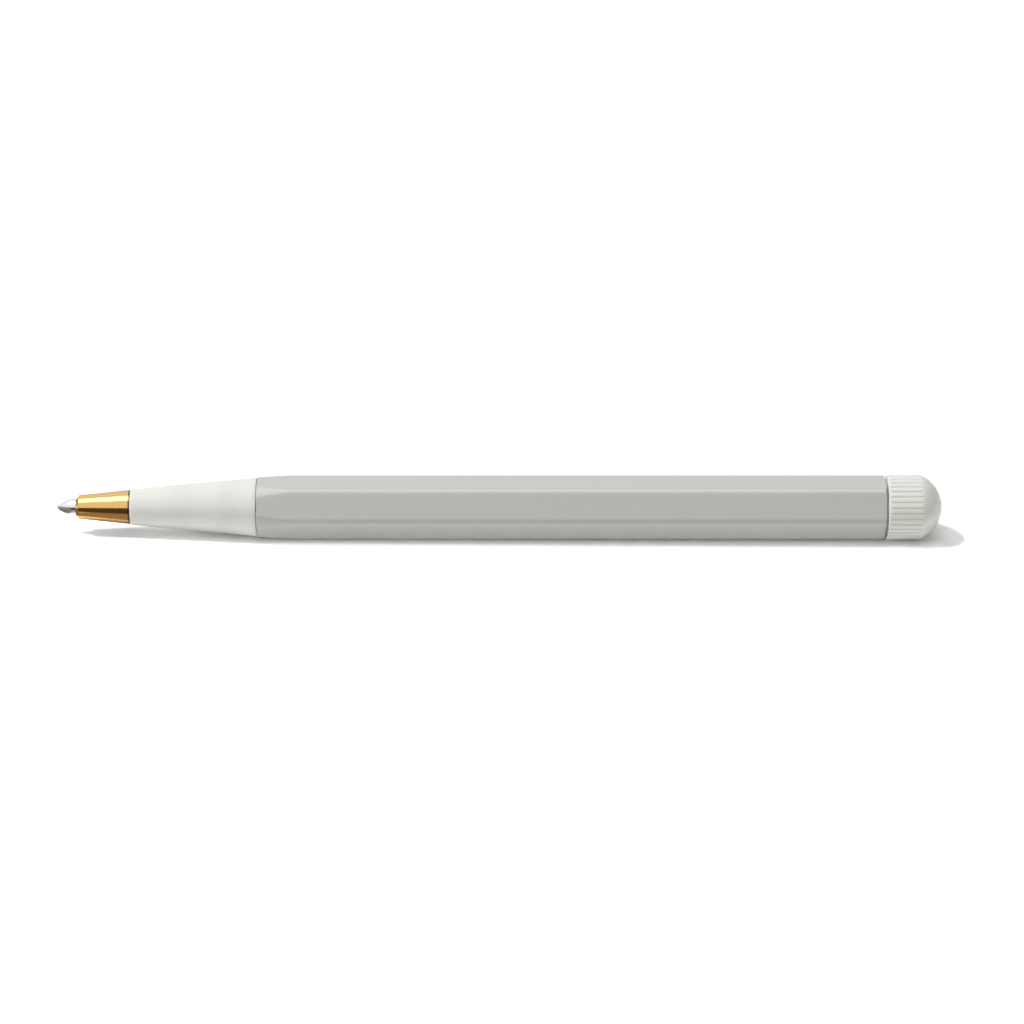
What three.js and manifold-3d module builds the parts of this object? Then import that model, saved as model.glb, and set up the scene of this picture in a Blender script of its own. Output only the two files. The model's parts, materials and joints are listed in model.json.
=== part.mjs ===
// A twist-action ballpoint pen with a hexagonal barrel, in millimetres, +Z up.
// It lies along X, with its writing tip towards -X and its twist knob towards +X.
// A place along the pen is a station: its distance from the front of the ball.
// The pen is shown with its point out, as it writes.

import * as THREE from 'three';
import { mergeVertices } from 'three/addons/utils/BufferGeometryUtils.js';
import Module from 'manifold-3d';

// Clearances
const PRESS_GAP = 0.03; // on the radius, where two pieces are pressed together
const RUNNING_GAP = 0.08; // on the radius, where a piece turns or slides in its guide
const END_GAP = 0.1; // where two pieces meet end to end
const SEAM = 0.12; // the fine joint lines at both ends of the grip cone

// Facets round the pen
const OUTER_SEGMENTS = 48;
const INNER_SEGMENTS = 24;
const ARC_STEPS = 5;

// Ball and metal point of the refill
const BALL_RADIUS = 0.42;
const BALL_SHOWN = 0.29; // how far the ball stands out of its socket
const SOCKET_GAP = 0.03;
const POINT_LIP = 0.03; // wall of the lip that holds the ball
const POINT_RADIUS = 1.28;
const POINT_SHOULDER = 2.3; // station where the point reaches its full radius
const POINT_BOW = 0.07; // how far its side bows out from a straight cone
const POINT_LENGTH = 4.6;
const POINT_STUB_RADIUS = 0.95;
const POINT_STUB_LENGTH = 2.4;
const INK_CHANNEL_RADIUS = 0.25;

// Refill body
const NOZZLE_RADIUS = 1.4; // the long neck that the spring sits on
const NOZZLE_STEP = 1.0; // how far behind the nose's inner step the neck widens
const NOZZLE_TAPER = 3.0;
const SHOULDER_SETBACK = 1.8; // from the nose's spigot to the spring's shoulder
const SHOULDER_WIDTH = 0.85;
const NOZZLE_SPIGOT = 4.0;
const NOZZLE_CHANNEL = 0.6;
const REFILL_RADIUS = 2.95;
const REFILL_WALL = 0.25;
const REFILL_TUBE_LENGTH = 73.3;
const INK_GAP = 0.5; // from the nozzle's spigot to the ink
const INK_AIR = 6.0; // empty length behind the ink
const PLUG_LENGTH = 4.5;
const PLUG_SPIGOT = 3.4;
const PLUG_VENT = 0.4;
const PLUG_SLOT_WIDTH = 0.8;
const PLUG_SLOT_DEPTH = 2.0;

// Return spring
const WIRE_RADIUS = 0.15;
const SPRING_TURNS = 10;
const SPRING_STEPS = 12; // steps to a turn
const SPRING_SIDES = 5;
const SPRING_CLEARANCE = 0.17; // from the nozzle's neck to the wire

// Brass nose
const POINT_REACH = 3.09; // how far the point stands out of the nose
const NOSE_LENGTH = 8.54;
const NOSE_LIP = 0.07;
const NOSE_BEVEL_LENGTH = 0.6;
const NOSE_BEVEL_RISE = 0.52;
const NOSE_BORE_LENGTH = 5.51;
const NOSE_SPIGOT_LENGTH = 3.45;
const NOSE_SPIGOT_WALL = 0.36;
const POINT_CLEARANCE = 0.1; // between the point and the nose's bore

// Grip cone
const CONE_LENGTH = 20.34;
const CONE_FRONT_WALL = 0.55;
const CONE_BEVEL_LENGTH = 0.25;
const CONE_BEVEL_RISE = 0.12;
const CONE_PROUD = 0.13; // how far the cone's rear edge stands above the barrel's flats
const CONE_BORE_SPARE = 1.2; // from the nose's spigot to the start of the inner taper
const CONE_INNER_TAPER = 3.2;

// Thread bush and its liner in the barrel
const REFILL_CLEARANCE = 0.17; // between the refill and the thread bush
const THREAD_WALL = 0.38;
const THREAD_LENGTH = 6.7;
const BUSH_HEAD_RISE = 0.25;
const BUSH_HEAD_LENGTH = 5.2;
const BUSH_SETBACK = 0.45; // from the bush's head to the cone's rear edge
const THREAD_GAP = 0.05;
const LINER_WALL = 0.45;
const LINER_SETBACK = 0.33;
const LINER_LENGTH = 8.6;

// Barrel
const BARREL_THIN_WALL = 0.57; // at the flats, over the thread's liner
const BARREL_BORE_STEP = 0.28; // how much narrower the long bore is than the liner's seat
const CORNER_RADIUS = 1.4;
const TURNED_FRONT = 4.8; // length over which the hexagon is turned down to round
const TURNED_PROUD = 0.07; // how far its front edge stands above the cone's rear edge
const REAR_CHAMFER = 0.2;
const CORNER_STEPS = 4;

// Twist mechanism
const STROKE = 5.0; // travel of the refill
const KNOB_TURN = Math.PI; // turn of the knob for that travel
const GUIDE_GAP = 0.15; // round the cup, which slides in the barrel
const CUP_SOCKET = 3.0; // depth of the refill in the cup
const CUP_WEB = 1.0;
const CUP_TAIL = 1.9;
const PLUG_CLEARANCE = 0.05;
const PIN_RADIUS = 0.5;
const PIN_GAP = 0.06;
const PIN_END_GAP = 0.15;
const PLUNGER_TO_PIN = 10.65; // from the cup's back end to the pin
const PLUNGER_TAIL = 2.5;
const PLUNGER_STUB_RADIUS = 2.0;
const PLUNGER_END_GAP = 1.1;
const SLEEVE_WALL = 0.42;
const SLEEVE_LEAD = 0.6; // how far the sleeve starts in front of the cam tube
const CAM_WALL = 0.62;
const CAM_LEAD = 4.4; // cam tube in front of the pin
const SLOT_STEPS = 20;
const SLOT_END_ANGLE = 0.23; // spare turn at each end of a cam slot
const SHAFT_PLUG_LENGTH = 3.8;
const FLANGE_THICKNESS = 0.9;
const WASHER_THICKNESS = 0.5;
const SHAFT_RADIUS = 2.0;
const SHAFT_GAP = 0.05;
const END_BUSH_LENGTH = 7.0;
const JOURNAL_LENGTH = 1.9;
const END_BUSH_RECESS = 0.05;
const RING_SECTION = 0.33;
const RING_SETBACK = 1.0; // from the journal to the middle of the friction ring
const RING_GAP = 0.07;
const GROOVE_DEPTH = 0.43;

// Knob
const KNOB_SEAM = 0.27;
const SEAM_WASHER_THICKNESS = 0.17;
const SEAM_WASHER_GAP = 0.05;
const SEAM_WASHER_DROP = 0.12; // how far it lies below the barrel's flats
const KNOB_PROUD = 0.125; // how far the knob stands above the barrel's corners
const KNOB_SIDE_LENGTH = 5.36;
const KNOB_RIM_LENGTH = 0.4;
const KNOB_RIM_DROP = 0.02;
const KNOB_RIM_CHAMFER = 0.08;
const DOME_RISE = 3.57;
const DOME_STEPS = 6;
const GROOVE_COUNT = 36;
const KNOB_GROOVE_WIDTH = 0.4;
const KNOB_GROOVE_DEPTH = 0.15;
const GROOVE_ROOT_SHARE = 0.5; // width of a groove's floor over its width at the top
const KNOB_INSERT_WALL = 1.39;
const KNOB_INSERT_SETBACK = 0.58;
const KNOB_INSERT_LENGTH = 5.45;
const KNOB_BORE_SPARE = 0.2;

// Radii, worked out from the refill outwards
const socketRadius = BALL_RADIUS + SOCKET_GAP;
const noseBoreRadius = POINT_RADIUS + POINT_CLEARANCE;
const noseMouthRadius = noseBoreRadius + NOSE_LIP;
const springRadius = NOZZLE_RADIUS + SPRING_CLEARANCE + WIRE_RADIUS;
const springSeatRadius = springRadius + WIRE_RADIUS + RUNNING_GAP;
const spigotRadius = springSeatRadius + NOSE_SPIGOT_WALL;
const coneBoreRadius = spigotRadius + PRESS_GAP;
const coneFrontRadius = coneBoreRadius + CONE_FRONT_WALL;
const noseRearRadius = coneFrontRadius - CONE_BEVEL_RISE;
const refillBoreRadius = REFILL_RADIUS - REFILL_WALL;
const bushBoreRadius = REFILL_RADIUS + REFILL_CLEARANCE;
const threadRadius = bushBoreRadius + THREAD_WALL;
const bushHeadRadius = threadRadius + BUSH_HEAD_RISE;
const linerBoreRadius = threadRadius + THREAD_GAP;
const linerRadius = linerBoreRadius + LINER_WALL;
const linerSeatRadius = linerRadius + PRESS_GAP;
const barrelBoreRadius = linerSeatRadius - BARREL_BORE_STEP;
const flatRadius = linerSeatRadius + BARREL_THIN_WALL;
const cornerCentre = (flatRadius - CORNER_RADIUS) / Math.cos(Math.PI / 6);
const cornerRadius = cornerCentre + CORNER_RADIUS;
const coneRearRadius = flatRadius + CONE_PROUD;
const turnedRadius = coneRearRadius + TURNED_PROUD;
const cupRadius = barrelBoreRadius - GUIDE_GAP;
const sleeveRadius = barrelBoreRadius - PRESS_GAP;
const sleeveBoreRadius = sleeveRadius - SLEEVE_WALL;
const camRadius = sleeveBoreRadius - RUNNING_GAP;
const camBoreRadius = camRadius - CAM_WALL;
const plungerRadius = camBoreRadius - RUNNING_GAP;
const shaftPlugRadius = camBoreRadius - PRESS_GAP;
const journalRadius = SHAFT_RADIUS + SHAFT_GAP;
const grooveRadius = SHAFT_RADIUS - GROOVE_DEPTH;
const ringRadius = grooveRadius + RING_GAP + RING_SECTION;
const ringSeatRadius = ringRadius + RING_SECTION + RING_GAP;
const knobRadius = cornerRadius + KNOB_PROUD;
const knobInsertBoreRadius = SHAFT_RADIUS + PRESS_GAP;
const knobInsertRadius = knobInsertBoreRadius + KNOB_INSERT_WALL;
const knobBoreRadius = knobInsertRadius + PRESS_GAP;

// Stations, worked out from the ball to the back end
const noseFront = POINT_REACH;
const springSeat = noseFront + NOSE_BORE_LENGTH;
const noseRear = noseFront + NOSE_LENGTH;
const coneFront = noseRear + SEAM;
const spigotRear = coneFront + NOSE_SPIGOT_LENGTH;
const coneRear = coneFront + CONE_LENGTH;
const bushHeadRear = coneRear - BUSH_SETBACK;
const bushHeadFront = bushHeadRear - BUSH_HEAD_LENGTH;
const threadRear = bushHeadRear + THREAD_LENGTH;
const barrelFront = coneRear + SEAM;
const linerFront = barrelFront + LINER_SETBACK;
const linerRear = linerFront + LINER_LENGTH;
const refillShoulder = spigotRear + SHOULDER_SETBACK;
const nozzleTaperRear = refillShoulder + NOZZLE_TAPER;
const tubeFront = nozzleTaperRear + END_GAP;
const nozzleRear = tubeFront + NOZZLE_SPIGOT;
const tubeRear = tubeFront + REFILL_TUBE_LENGTH;
const plugSpigotFront = tubeRear - PLUG_SPIGOT;
const plugFront = tubeRear + END_GAP;
const refillRear = plugFront + PLUG_LENGTH;
const cupFront = refillRear - CUP_SOCKET;
const webFront = refillRear + END_GAP;
const webRear = webFront + CUP_WEB;
const cupRear = webRear + CUP_TAIL;
const pinStation = cupRear + PLUNGER_TO_PIN;
const plungerRear = pinStation + PLUNGER_TAIL;
const shaftPlugFront = plungerRear + STROKE + PLUNGER_END_GAP;
const camFront = pinStation - CAM_LEAD;
const camRear = shaftPlugFront + SHAFT_PLUG_LENGTH;
const sleeveFront = camFront - SLEEVE_LEAD;
const flangeFront = camRear + END_GAP;
const flangeRear = flangeFront + FLANGE_THICKNESS;
const washerFront = flangeRear + END_GAP;
const sleeveRear = washerFront + WASHER_THICKNESS;
const endBushFront = sleeveRear + END_GAP;
const journalRear = endBushFront + JOURNAL_LENGTH;
const ringStation = journalRear + RING_SETBACK;
const endBushRear = endBushFront + END_BUSH_LENGTH;
const barrelRear = endBushRear + END_BUSH_RECESS;
const seamWasherFront = barrelRear + SEAM_WASHER_GAP;
const knobFront = barrelRear + KNOB_SEAM;
const knobCrease = knobFront + KNOB_SIDE_LENGTH;
const knobInsertFront = knobFront + KNOB_INSERT_SETBACK;
const knobInsertRear = knobInsertFront + KNOB_INSERT_LENGTH;
const penLength = knobCrease + DOME_RISE;

// The pen stands on the flat top of one of the knob's ridges.
const groovePitch = 2 * Math.PI / GROOVE_COUNT;
const grooveHalfAngle = KNOB_GROOVE_WIDTH / 2 / knobRadius;
const ridgeHalfAngle = groovePitch / 2 - grooveHalfAngle;
const axisHeight = knobRadius * Math.cos(ridgeHalfAngle);

const wasm = await Module();
wasm.setup();

// Merges shared corners and drops the triangles that collapse on the axis.
function welded(geometry) {
  geometry.deleteAttribute('normal');
  geometry.deleteAttribute('uv');
  const merged = mergeVertices(geometry);
  const index = merged.getIndex().array;
  const kept = [];
  for (let i = 0; i < index.length; i += 3) {
    const [a, b, c] = [index[i], index[i + 1], index[i + 2]];
    if (a !== b && b !== c && c !== a) kept.push(a, b, c);
  }
  merged.setIndex(kept);
  merged.computeVertexNormals();
  return merged;
}

function solid(geometry) {
  const closed = welded(geometry);
  const vertProperties = new Float32Array(closed.getAttribute('position').array);
  const triVerts = new Uint32Array(closed.getIndex().array);
  return new wasm.Manifold(new wasm.Mesh({ numProp: 3, vertProperties, triVerts }));
}

function geometryOf(manifold) {
  const mesh = manifold.getMesh();
  const geometry = new THREE.BufferGeometry();
  geometry.setAttribute('position', new THREE.BufferAttribute(mesh.vertProperties, mesh.numProp));
  geometry.setIndex(new THREE.BufferAttribute(mesh.triVerts, 1));
  geometry.computeVertexNormals();
  return geometry;
}

// Turns [station, radius] points round the pen's axis.
// The points run out along the front, back along the outer side, and in along the rear.
function turned(points, segments = INNER_SEGMENTS) {
  const profile = points.map(([station, radius]) => new THREE.Vector2(radius, station));
  const onAxis = points[0][1] === 0;
  if (!onAxis) profile.push(profile[0].clone());
  const geometry = new THREE.LatheGeometry(profile, segments);
  geometry.rotateZ(-Math.PI / 2);
  return welded(geometry);
}

function tube(front, rear, inner, outer, segments = INNER_SEGMENTS) {
  const section = [[front, inner], [front, outer], [rear, outer], [rear, inner]];
  return turned(section, segments);
}

function rod(front, rear, radius, segments = INNER_SEGMENTS) {
  const section = [[front, 0], [front, radius], [rear, radius], [rear, 0]];
  return turned(section, segments);
}

// An outline drawn in the plane across the pen, pulled from one station to another.
function extruded(shape, front, rear, curveSegments) {
  const options = { depth: rear - front, bevelEnabled: false, curveSegments };
  const geometry = new THREE.ExtrudeGeometry(shape, options);
  const across = new THREE.Matrix4().makeBasis(
    new THREE.Vector3(0, 1, 0),
    new THREE.Vector3(0, 0, 1),
    new THREE.Vector3(1, 0, 0),
  );
  geometry.applyMatrix4(across);
  geometry.translate(front, 0, 0);
  return geometry;
}

// A cutter: a box that runs along the pen and right through it.
function boxCutter(front, rear, width, height) {
  const box = new THREE.BoxGeometry(rear - front, width, height);
  box.translate((front + rear) / 2, 0, 0);
  return solid(box);
}

// Points of a shallow curve that bows outwards from the straight line between its two ends.
function bowed([start, startRadius], [end, endRadius], bow) {
  const length = end - start;
  const rise = endRadius - startRadius;
  const chord = Math.hypot(length, rise);
  const points = [];
  for (let i = 0; i <= ARC_STEPS; i += 1) {
    const share = i / ARC_STEPS;
    const lift = 4 * bow * share * (1 - share);
    const station = start + length * share - lift * rise / chord;
    points.push([station, startRadius + rise * share + lift * length / chord]);
  }
  return points;
}

// Joins rings of points into one closed solid with flat ends.
function loft(rings) {
  const sides = rings[0].length;
  const index = [];
  for (let i = 0; i + 1 < rings.length; i += 1) {
    for (let j = 0; j < sides; j += 1) {
      const next = (j + 1) % sides;
      const [a, b] = [i * sides + j, i * sides + next];
      const [c, d] = [a + sides, b + sides];
      index.push(a, b, d, a, d, c);
    }
  }
  const last = (rings.length - 1) * sides;
  for (let j = 1; j + 1 < sides; j += 1) {
    index.push(0, j + 1, j);
    index.push(last, last + j, last + j + 1);
  }
  const geometry = new THREE.BufferGeometry().setFromPoints(rings.flat());
  geometry.setIndex(index);
  geometry.computeVertexNormals();
  return geometry;
}

// Refill

function writingBall() {
  const ball = new THREE.SphereGeometry(BALL_RADIUS, 16, 12);
  ball.rotateZ(-Math.PI / 2);
  ball.translate(BALL_RADIUS, 0, 0);
  return welded(ball);
}

// The point is nearly a straight cone in front, and its lip is closed in over the ball.
function pointCone() {
  const lipOffset = BALL_RADIUS - BALL_SHOWN;
  const lipInner = Math.sqrt(socketRadius ** 2 - lipOffset ** 2);
  const socket = [];
  const channelAngle = Math.asin(INK_CHANNEL_RADIUS / socketRadius);
  const lipAngle = Math.PI - Math.asin(lipInner / socketRadius);
  for (let i = 0; i <= ARC_STEPS; i += 1) {
    const angle = channelAngle + (lipAngle - channelAngle) * (i / ARC_STEPS);
    const station = BALL_RADIUS + socketRadius * Math.cos(angle);
    socket.push([station, socketRadius * Math.sin(angle)]);
  }
  const stubRear = POINT_LENGTH + POINT_STUB_LENGTH;
  return turned([
    ...bowed([BALL_SHOWN, lipInner + POINT_LIP], [POINT_SHOULDER, POINT_RADIUS], POINT_BOW),
    [POINT_LENGTH, POINT_RADIUS],
    [POINT_LENGTH, POINT_STUB_RADIUS],
    [stubRear, POINT_STUB_RADIUS],
    [stubRear, INK_CHANNEL_RADIUS],
    ...socket,
  ]);
}

function refillNozzle() {
  const front = POINT_LENGTH + END_GAP;
  const stubSeat = POINT_LENGTH + POINT_STUB_LENGTH + END_GAP;
  const neckStep = springSeat + NOZZLE_STEP;
  const spigot = refillBoreRadius - PRESS_GAP;
  return turned([
    [front, POINT_STUB_RADIUS + PRESS_GAP],
    [front, POINT_RADIUS],
    [neckStep, POINT_RADIUS],
    [neckStep, NOZZLE_RADIUS],
    [refillShoulder, NOZZLE_RADIUS],
    [refillShoulder, NOZZLE_RADIUS + SHOULDER_WIDTH],
    [nozzleTaperRear, REFILL_RADIUS],
    [nozzleTaperRear, spigot],
    [nozzleRear, spigot],
    [nozzleRear, NOZZLE_CHANNEL],
    [stubSeat, NOZZLE_CHANNEL],
    [stubSeat, POINT_STUB_RADIUS + PRESS_GAP],
  ]);
}

function refillTube() {
  return tube(tubeFront, tubeRear, refillBoreRadius, REFILL_RADIUS);
}

function inkColumn() {
  return rod(nozzleRear + INK_GAP, plugSpigotFront - INK_AIR, refillBoreRadius - END_GAP);
}

// The plug is vented along its middle, and two crossed slots cut its back end.
function refillRearPlug() {
  const spigot = refillBoreRadius - PRESS_GAP;
  const blank = solid(turned([
    [plugSpigotFront, PLUG_VENT],
    [plugSpigotFront, spigot],
    [plugFront, spigot],
    [plugFront, REFILL_RADIUS],
    [refillRear, REFILL_RADIUS],
    [refillRear, PLUG_VENT],
  ]));
  const slotFront = refillRear - PLUG_SLOT_DEPTH;
  const slotRear = refillRear + PLUG_SLOT_DEPTH;
  const slotLength = 3 * REFILL_RADIUS;
  const across = boxCutter(slotFront, slotRear, slotLength, PLUG_SLOT_WIDTH);
  const upright = boxCutter(slotFront, slotRear, PLUG_SLOT_WIDTH, slotLength);
  return geometryOf(blank.subtract(across).subtract(upright));
}

// One unbroken helix of wire between the nose's inner step and the refill's shoulder
function returnSpring() {
  const front = springSeat + WIRE_RADIUS + END_GAP;
  const rear = refillShoulder - WIRE_RADIUS - END_GAP;
  const steps = SPRING_TURNS * SPRING_STEPS;
  const pitch = (rear - front) / SPRING_TURNS;
  const rings = [];
  for (let i = 0; i <= steps; i += 1) {
    const angle = 2 * Math.PI * i / SPRING_STEPS;
    const outward = new THREE.Vector3(0, Math.cos(angle), Math.sin(angle));
    const along = new THREE.Vector3(1, 0, 0);
    const centre = outward.clone().multiplyScalar(springRadius);
    centre.x = front + pitch * i / SPRING_STEPS;
    const ring = [];
    for (let j = 0; j < SPRING_SIDES; j += 1) {
      const turn = 2 * Math.PI * j / SPRING_SIDES;
      const point = centre.clone();
      point.addScaledVector(outward, WIRE_RADIUS * Math.cos(turn));
      point.addScaledVector(along, -WIRE_RADIUS * Math.sin(turn));
      ring.push(point);
    }
    rings.push(ring);
  }
  console.log(`return_spring: ${SPRING_TURNS} turns, least gap ${(leastGap(rings)).toFixed(2)} mm`);
  return loft(rings);
}

// The least distance between points of neighbouring turns of the spring
function leastGap(rings) {
  let least = Infinity;
  for (let i = 0; i + SPRING_STEPS < rings.length; i += 1) {
    for (const point of rings[i]) {
      for (const other of rings[i + SPRING_STEPS]) {
        least = Math.min(least, point.distanceTo(other));
      }
    }
  }
  return least;
}

// Front end

function noseTip() {
  const bevelRear = noseFront + NOSE_BEVEL_LENGTH;
  return turned([
    [noseFront, noseBoreRadius],
    [noseFront, noseMouthRadius],
    [bevelRear, noseMouthRadius + NOSE_BEVEL_RISE],
    [noseRear, noseRearRadius],
    [noseRear, spigotRadius],
    [spigotRear, spigotRadius],
    [spigotRear, springSeatRadius],
    [springSeat, springSeatRadius],
    [springSeat, noseBoreRadius],
  ], OUTER_SEGMENTS);
}

function gripCone() {
  const taperFront = spigotRear + CONE_BORE_SPARE;
  const taperRear = taperFront + CONE_INNER_TAPER;
  const bushSeat = bushHeadFront - END_GAP;
  const bushSeatRadius = bushHeadRadius + PRESS_GAP;
  return turned([
    [coneFront, coneBoreRadius],
    [coneFront, noseRearRadius],
    [coneFront + CONE_BEVEL_LENGTH, coneFrontRadius],
    [coneRear, coneRearRadius],
    [coneRear, bushSeatRadius],
    [bushSeat, bushSeatRadius],
    [bushSeat, bushBoreRadius],
    [taperRear, bushBoreRadius],
    [taperFront, coneBoreRadius],
  ], OUTER_SEGMENTS);
}

// A plain round thread stands for the screw thread.
function threadBush() {
  return turned([
    [bushHeadFront, bushBoreRadius],
    [bushHeadFront, bushHeadRadius],
    [bushHeadRear, bushHeadRadius],
    [bushHeadRear, threadRadius],
    [threadRear, threadRadius],
    [threadRear, bushBoreRadius],
  ]);
}

// Barrel and what is fixed in it

function hexagon() {
  const outline = new THREE.Shape();
  for (let corner = 0; corner < 6; corner += 1) {
    const middle = corner * Math.PI / 3;
    const y = cornerCentre * Math.cos(middle);
    const z = cornerCentre * Math.sin(middle);
    outline.absarc(y, z, CORNER_RADIUS, middle - Math.PI / 6, middle + Math.PI / 6, false);
  }
  outline.closePath();
  return outline;
}

// The hexagon is turned down to a taper in front, and its corners are chamfered at the rear.
function barrel() {
  const bar = solid(extruded(hexagon(), barrelFront, barrelRear, CORNER_STEPS));
  const spare = REAR_CHAMFER;
  const turnedRear = barrelFront + TURNED_FRONT;
  const envelope = solid(turned([
    [barrelFront, 0],
    [barrelFront, turnedRadius],
    [turnedRear, cornerRadius],
    [turnedRear + spare, cornerRadius + spare],
    [barrelRear - 2 * spare, cornerRadius + spare],
    [barrelRear, cornerRadius - spare],
    [barrelRear, 0],
  ], OUTER_SEGMENTS));
  const seatRear = linerRear + END_GAP;
  const hollow = solid(turned([
    [barrelFront - spare, 0],
    [barrelFront - spare, linerSeatRadius],
    [seatRear, linerSeatRadius],
    [seatRear, barrelBoreRadius],
    [barrelRear + spare, barrelBoreRadius],
    [barrelRear + spare, 0],
  ]));
  return geometryOf(bar.intersect(envelope).subtract(hollow));
}

function barrelInsert() {
  return tube(linerFront, linerRear, linerBoreRadius, linerRadius);
}

// The sleeve's two straight slots stop the follower pin from turning.
function guideSleeve() {
  const blank = solid(tube(sleeveFront, sleeveRear, sleeveBoreRadius, sleeveRadius));
  const reach = PIN_RADIUS + PIN_GAP;
  const slotRear = pinStation + STROKE + reach;
  const slots = boxCutter(pinStation - reach, slotRear, 2 * reach, 3 * sleeveRadius);
  return geometryOf(blank.subtract(slots));
}

function thrustWasher() {
  const rear = washerFront + WASHER_THICKNESS;
  return tube(washerFront, rear, SHAFT_RADIUS + RUNNING_GAP, sleeveBoreRadius - RUNNING_GAP);
}

function endBush() {
  return turned([
    [endBushFront, journalRadius],
    [endBushFront, sleeveRadius],
    [endBushRear, sleeveRadius],
    [endBushRear, ringSeatRadius],
    [journalRear, ringSeatRadius],
    [journalRear, journalRadius],
  ]);
}

// Sliding carriage

function refillCup() {
  const socket = REFILL_RADIUS + PLUG_CLEARANCE;
  return geometryOf(solid(rod(cupFront, cupRear, cupRadius))
    .subtract(solid(rod(cupFront - END_GAP, webFront, socket)))
    .subtract(solid(rod(webRear, cupRear + END_GAP, PLUNGER_STUB_RADIUS + PRESS_GAP))));
}

function crossPin(radius, halfLength) {
  const pin = new THREE.CylinderGeometry(radius, radius, 2 * halfLength, 16);
  pin.rotateX(Math.PI / 2);
  pin.translate(pinStation, 0, 0);
  return welded(pin);
}

function plunger() {
  const stemFront = cupRear + END_GAP;
  const blank = solid(turned([
    [webRear + END_GAP, 0],
    [webRear + END_GAP, PLUNGER_STUB_RADIUS],
    [stemFront, PLUNGER_STUB_RADIUS],
    [stemFront, plungerRadius],
    [plungerRear, plungerRadius],
    [plungerRear, 0],
  ]));
  return geometryOf(blank.subtract(solid(crossPin(PIN_RADIUS + PRESS_GAP, 2 * plungerRadius))));
}

function followerPin() {
  return crossPin(PIN_RADIUS, barrelBoreRadius - PIN_END_GAP);
}

// Turning parts

// A cutter for one helical slot, which starts at the pin and runs with the stroke.
function slotCutter(startAngle) {
  const inner = camBoreRadius - CAM_WALL;
  const outer = camRadius + CAM_WALL;
  const rise = STROKE / KNOB_TURN;
  const steepness = rise / camBoreRadius;
  const halfWidth = (PIN_RADIUS + PIN_GAP) * Math.sqrt(1 + steepness ** 2);
  const rings = [];
  for (let i = 0; i <= SLOT_STEPS; i += 1) {
    const turn = -SLOT_END_ANGLE + (KNOB_TURN + 2 * SLOT_END_ANGLE) * i / SLOT_STEPS;
    const station = pinStation + rise * turn;
    const angle = startAngle - turn;
    const corner = (radius, offset) => new THREE.Vector3(
      station + offset,
      radius * Math.cos(angle),
      radius * Math.sin(angle),
    );
    rings.push([
      corner(inner, -halfWidth),
      corner(outer, -halfWidth),
      corner(outer, halfWidth),
      corner(inner, halfWidth),
    ]);
  }
  return solid(loft(rings));
}

function camTube() {
  const blank = solid(tube(camFront, camRear, camBoreRadius, camRadius));
  const upper = slotCutter(Math.PI / 2);
  const lower = slotCutter(-Math.PI / 2);
  return geometryOf(blank.subtract(upper).subtract(lower));
}

function driveShaft() {
  const groove = RING_SECTION + RING_GAP;
  return turned([
    [shaftPlugFront, 0],
    [shaftPlugFront, shaftPlugRadius],
    [flangeFront, shaftPlugRadius],
    [flangeFront, camRadius],
    [flangeRear, camRadius],
    [flangeRear, SHAFT_RADIUS],
    [ringStation - groove, SHAFT_RADIUS],
    [ringStation - groove, grooveRadius],
    [ringStation + groove, grooveRadius],
    [ringStation + groove, SHAFT_RADIUS],
    [knobInsertRear - END_GAP, SHAFT_RADIUS],
    [knobInsertRear - END_GAP, 0],
  ]);
}

function frictionRing() {
  const ring = new THREE.TorusGeometry(ringRadius, RING_SECTION, 8, INNER_SEGMENTS);
  ring.rotateY(Math.PI / 2);
  ring.translate(ringStation, 0, 0);
  return welded(ring);
}

function seamWasher() {
  const rear = seamWasherFront + SEAM_WASHER_THICKNESS;
  const outer = flatRadius - SEAM_WASHER_DROP;
  return tube(seamWasherFront, rear, SHAFT_RADIUS + RUNNING_GAP, outer, OUTER_SEGMENTS);
}

function knobInsert() {
  return tube(knobInsertFront, knobInsertRear, knobInsertBoreRadius, knobInsertRadius);
}

// The knob's outline: flat-topped ridges with narrow grooves between them
function groovedOutline() {
  const outline = new THREE.Shape();
  const floorHalfAngle = grooveHalfAngle * GROOVE_ROOT_SHARE;
  const floorRadius = knobRadius - KNOB_GROOVE_DEPTH;
  for (let groove = 0; groove < GROOVE_COUNT; groove += 1) {
    const middle = (groove + 0.5) * groovePitch;
    const corners = [
      [knobRadius, middle - grooveHalfAngle],
      [floorRadius, middle - floorHalfAngle],
      [floorRadius, middle + floorHalfAngle],
      [knobRadius, middle + grooveHalfAngle],
    ];
    for (const [radius, angle] of corners) {
      const [y, z] = [radius * Math.cos(angle), radius * Math.sin(angle)];
      if (outline.curves.length === 0 && outline.currentPoint.lengthSq() === 0) outline.moveTo(y, z);
      else outline.lineTo(y, z);
    }
  }
  outline.closePath();
  return outline;
}

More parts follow.
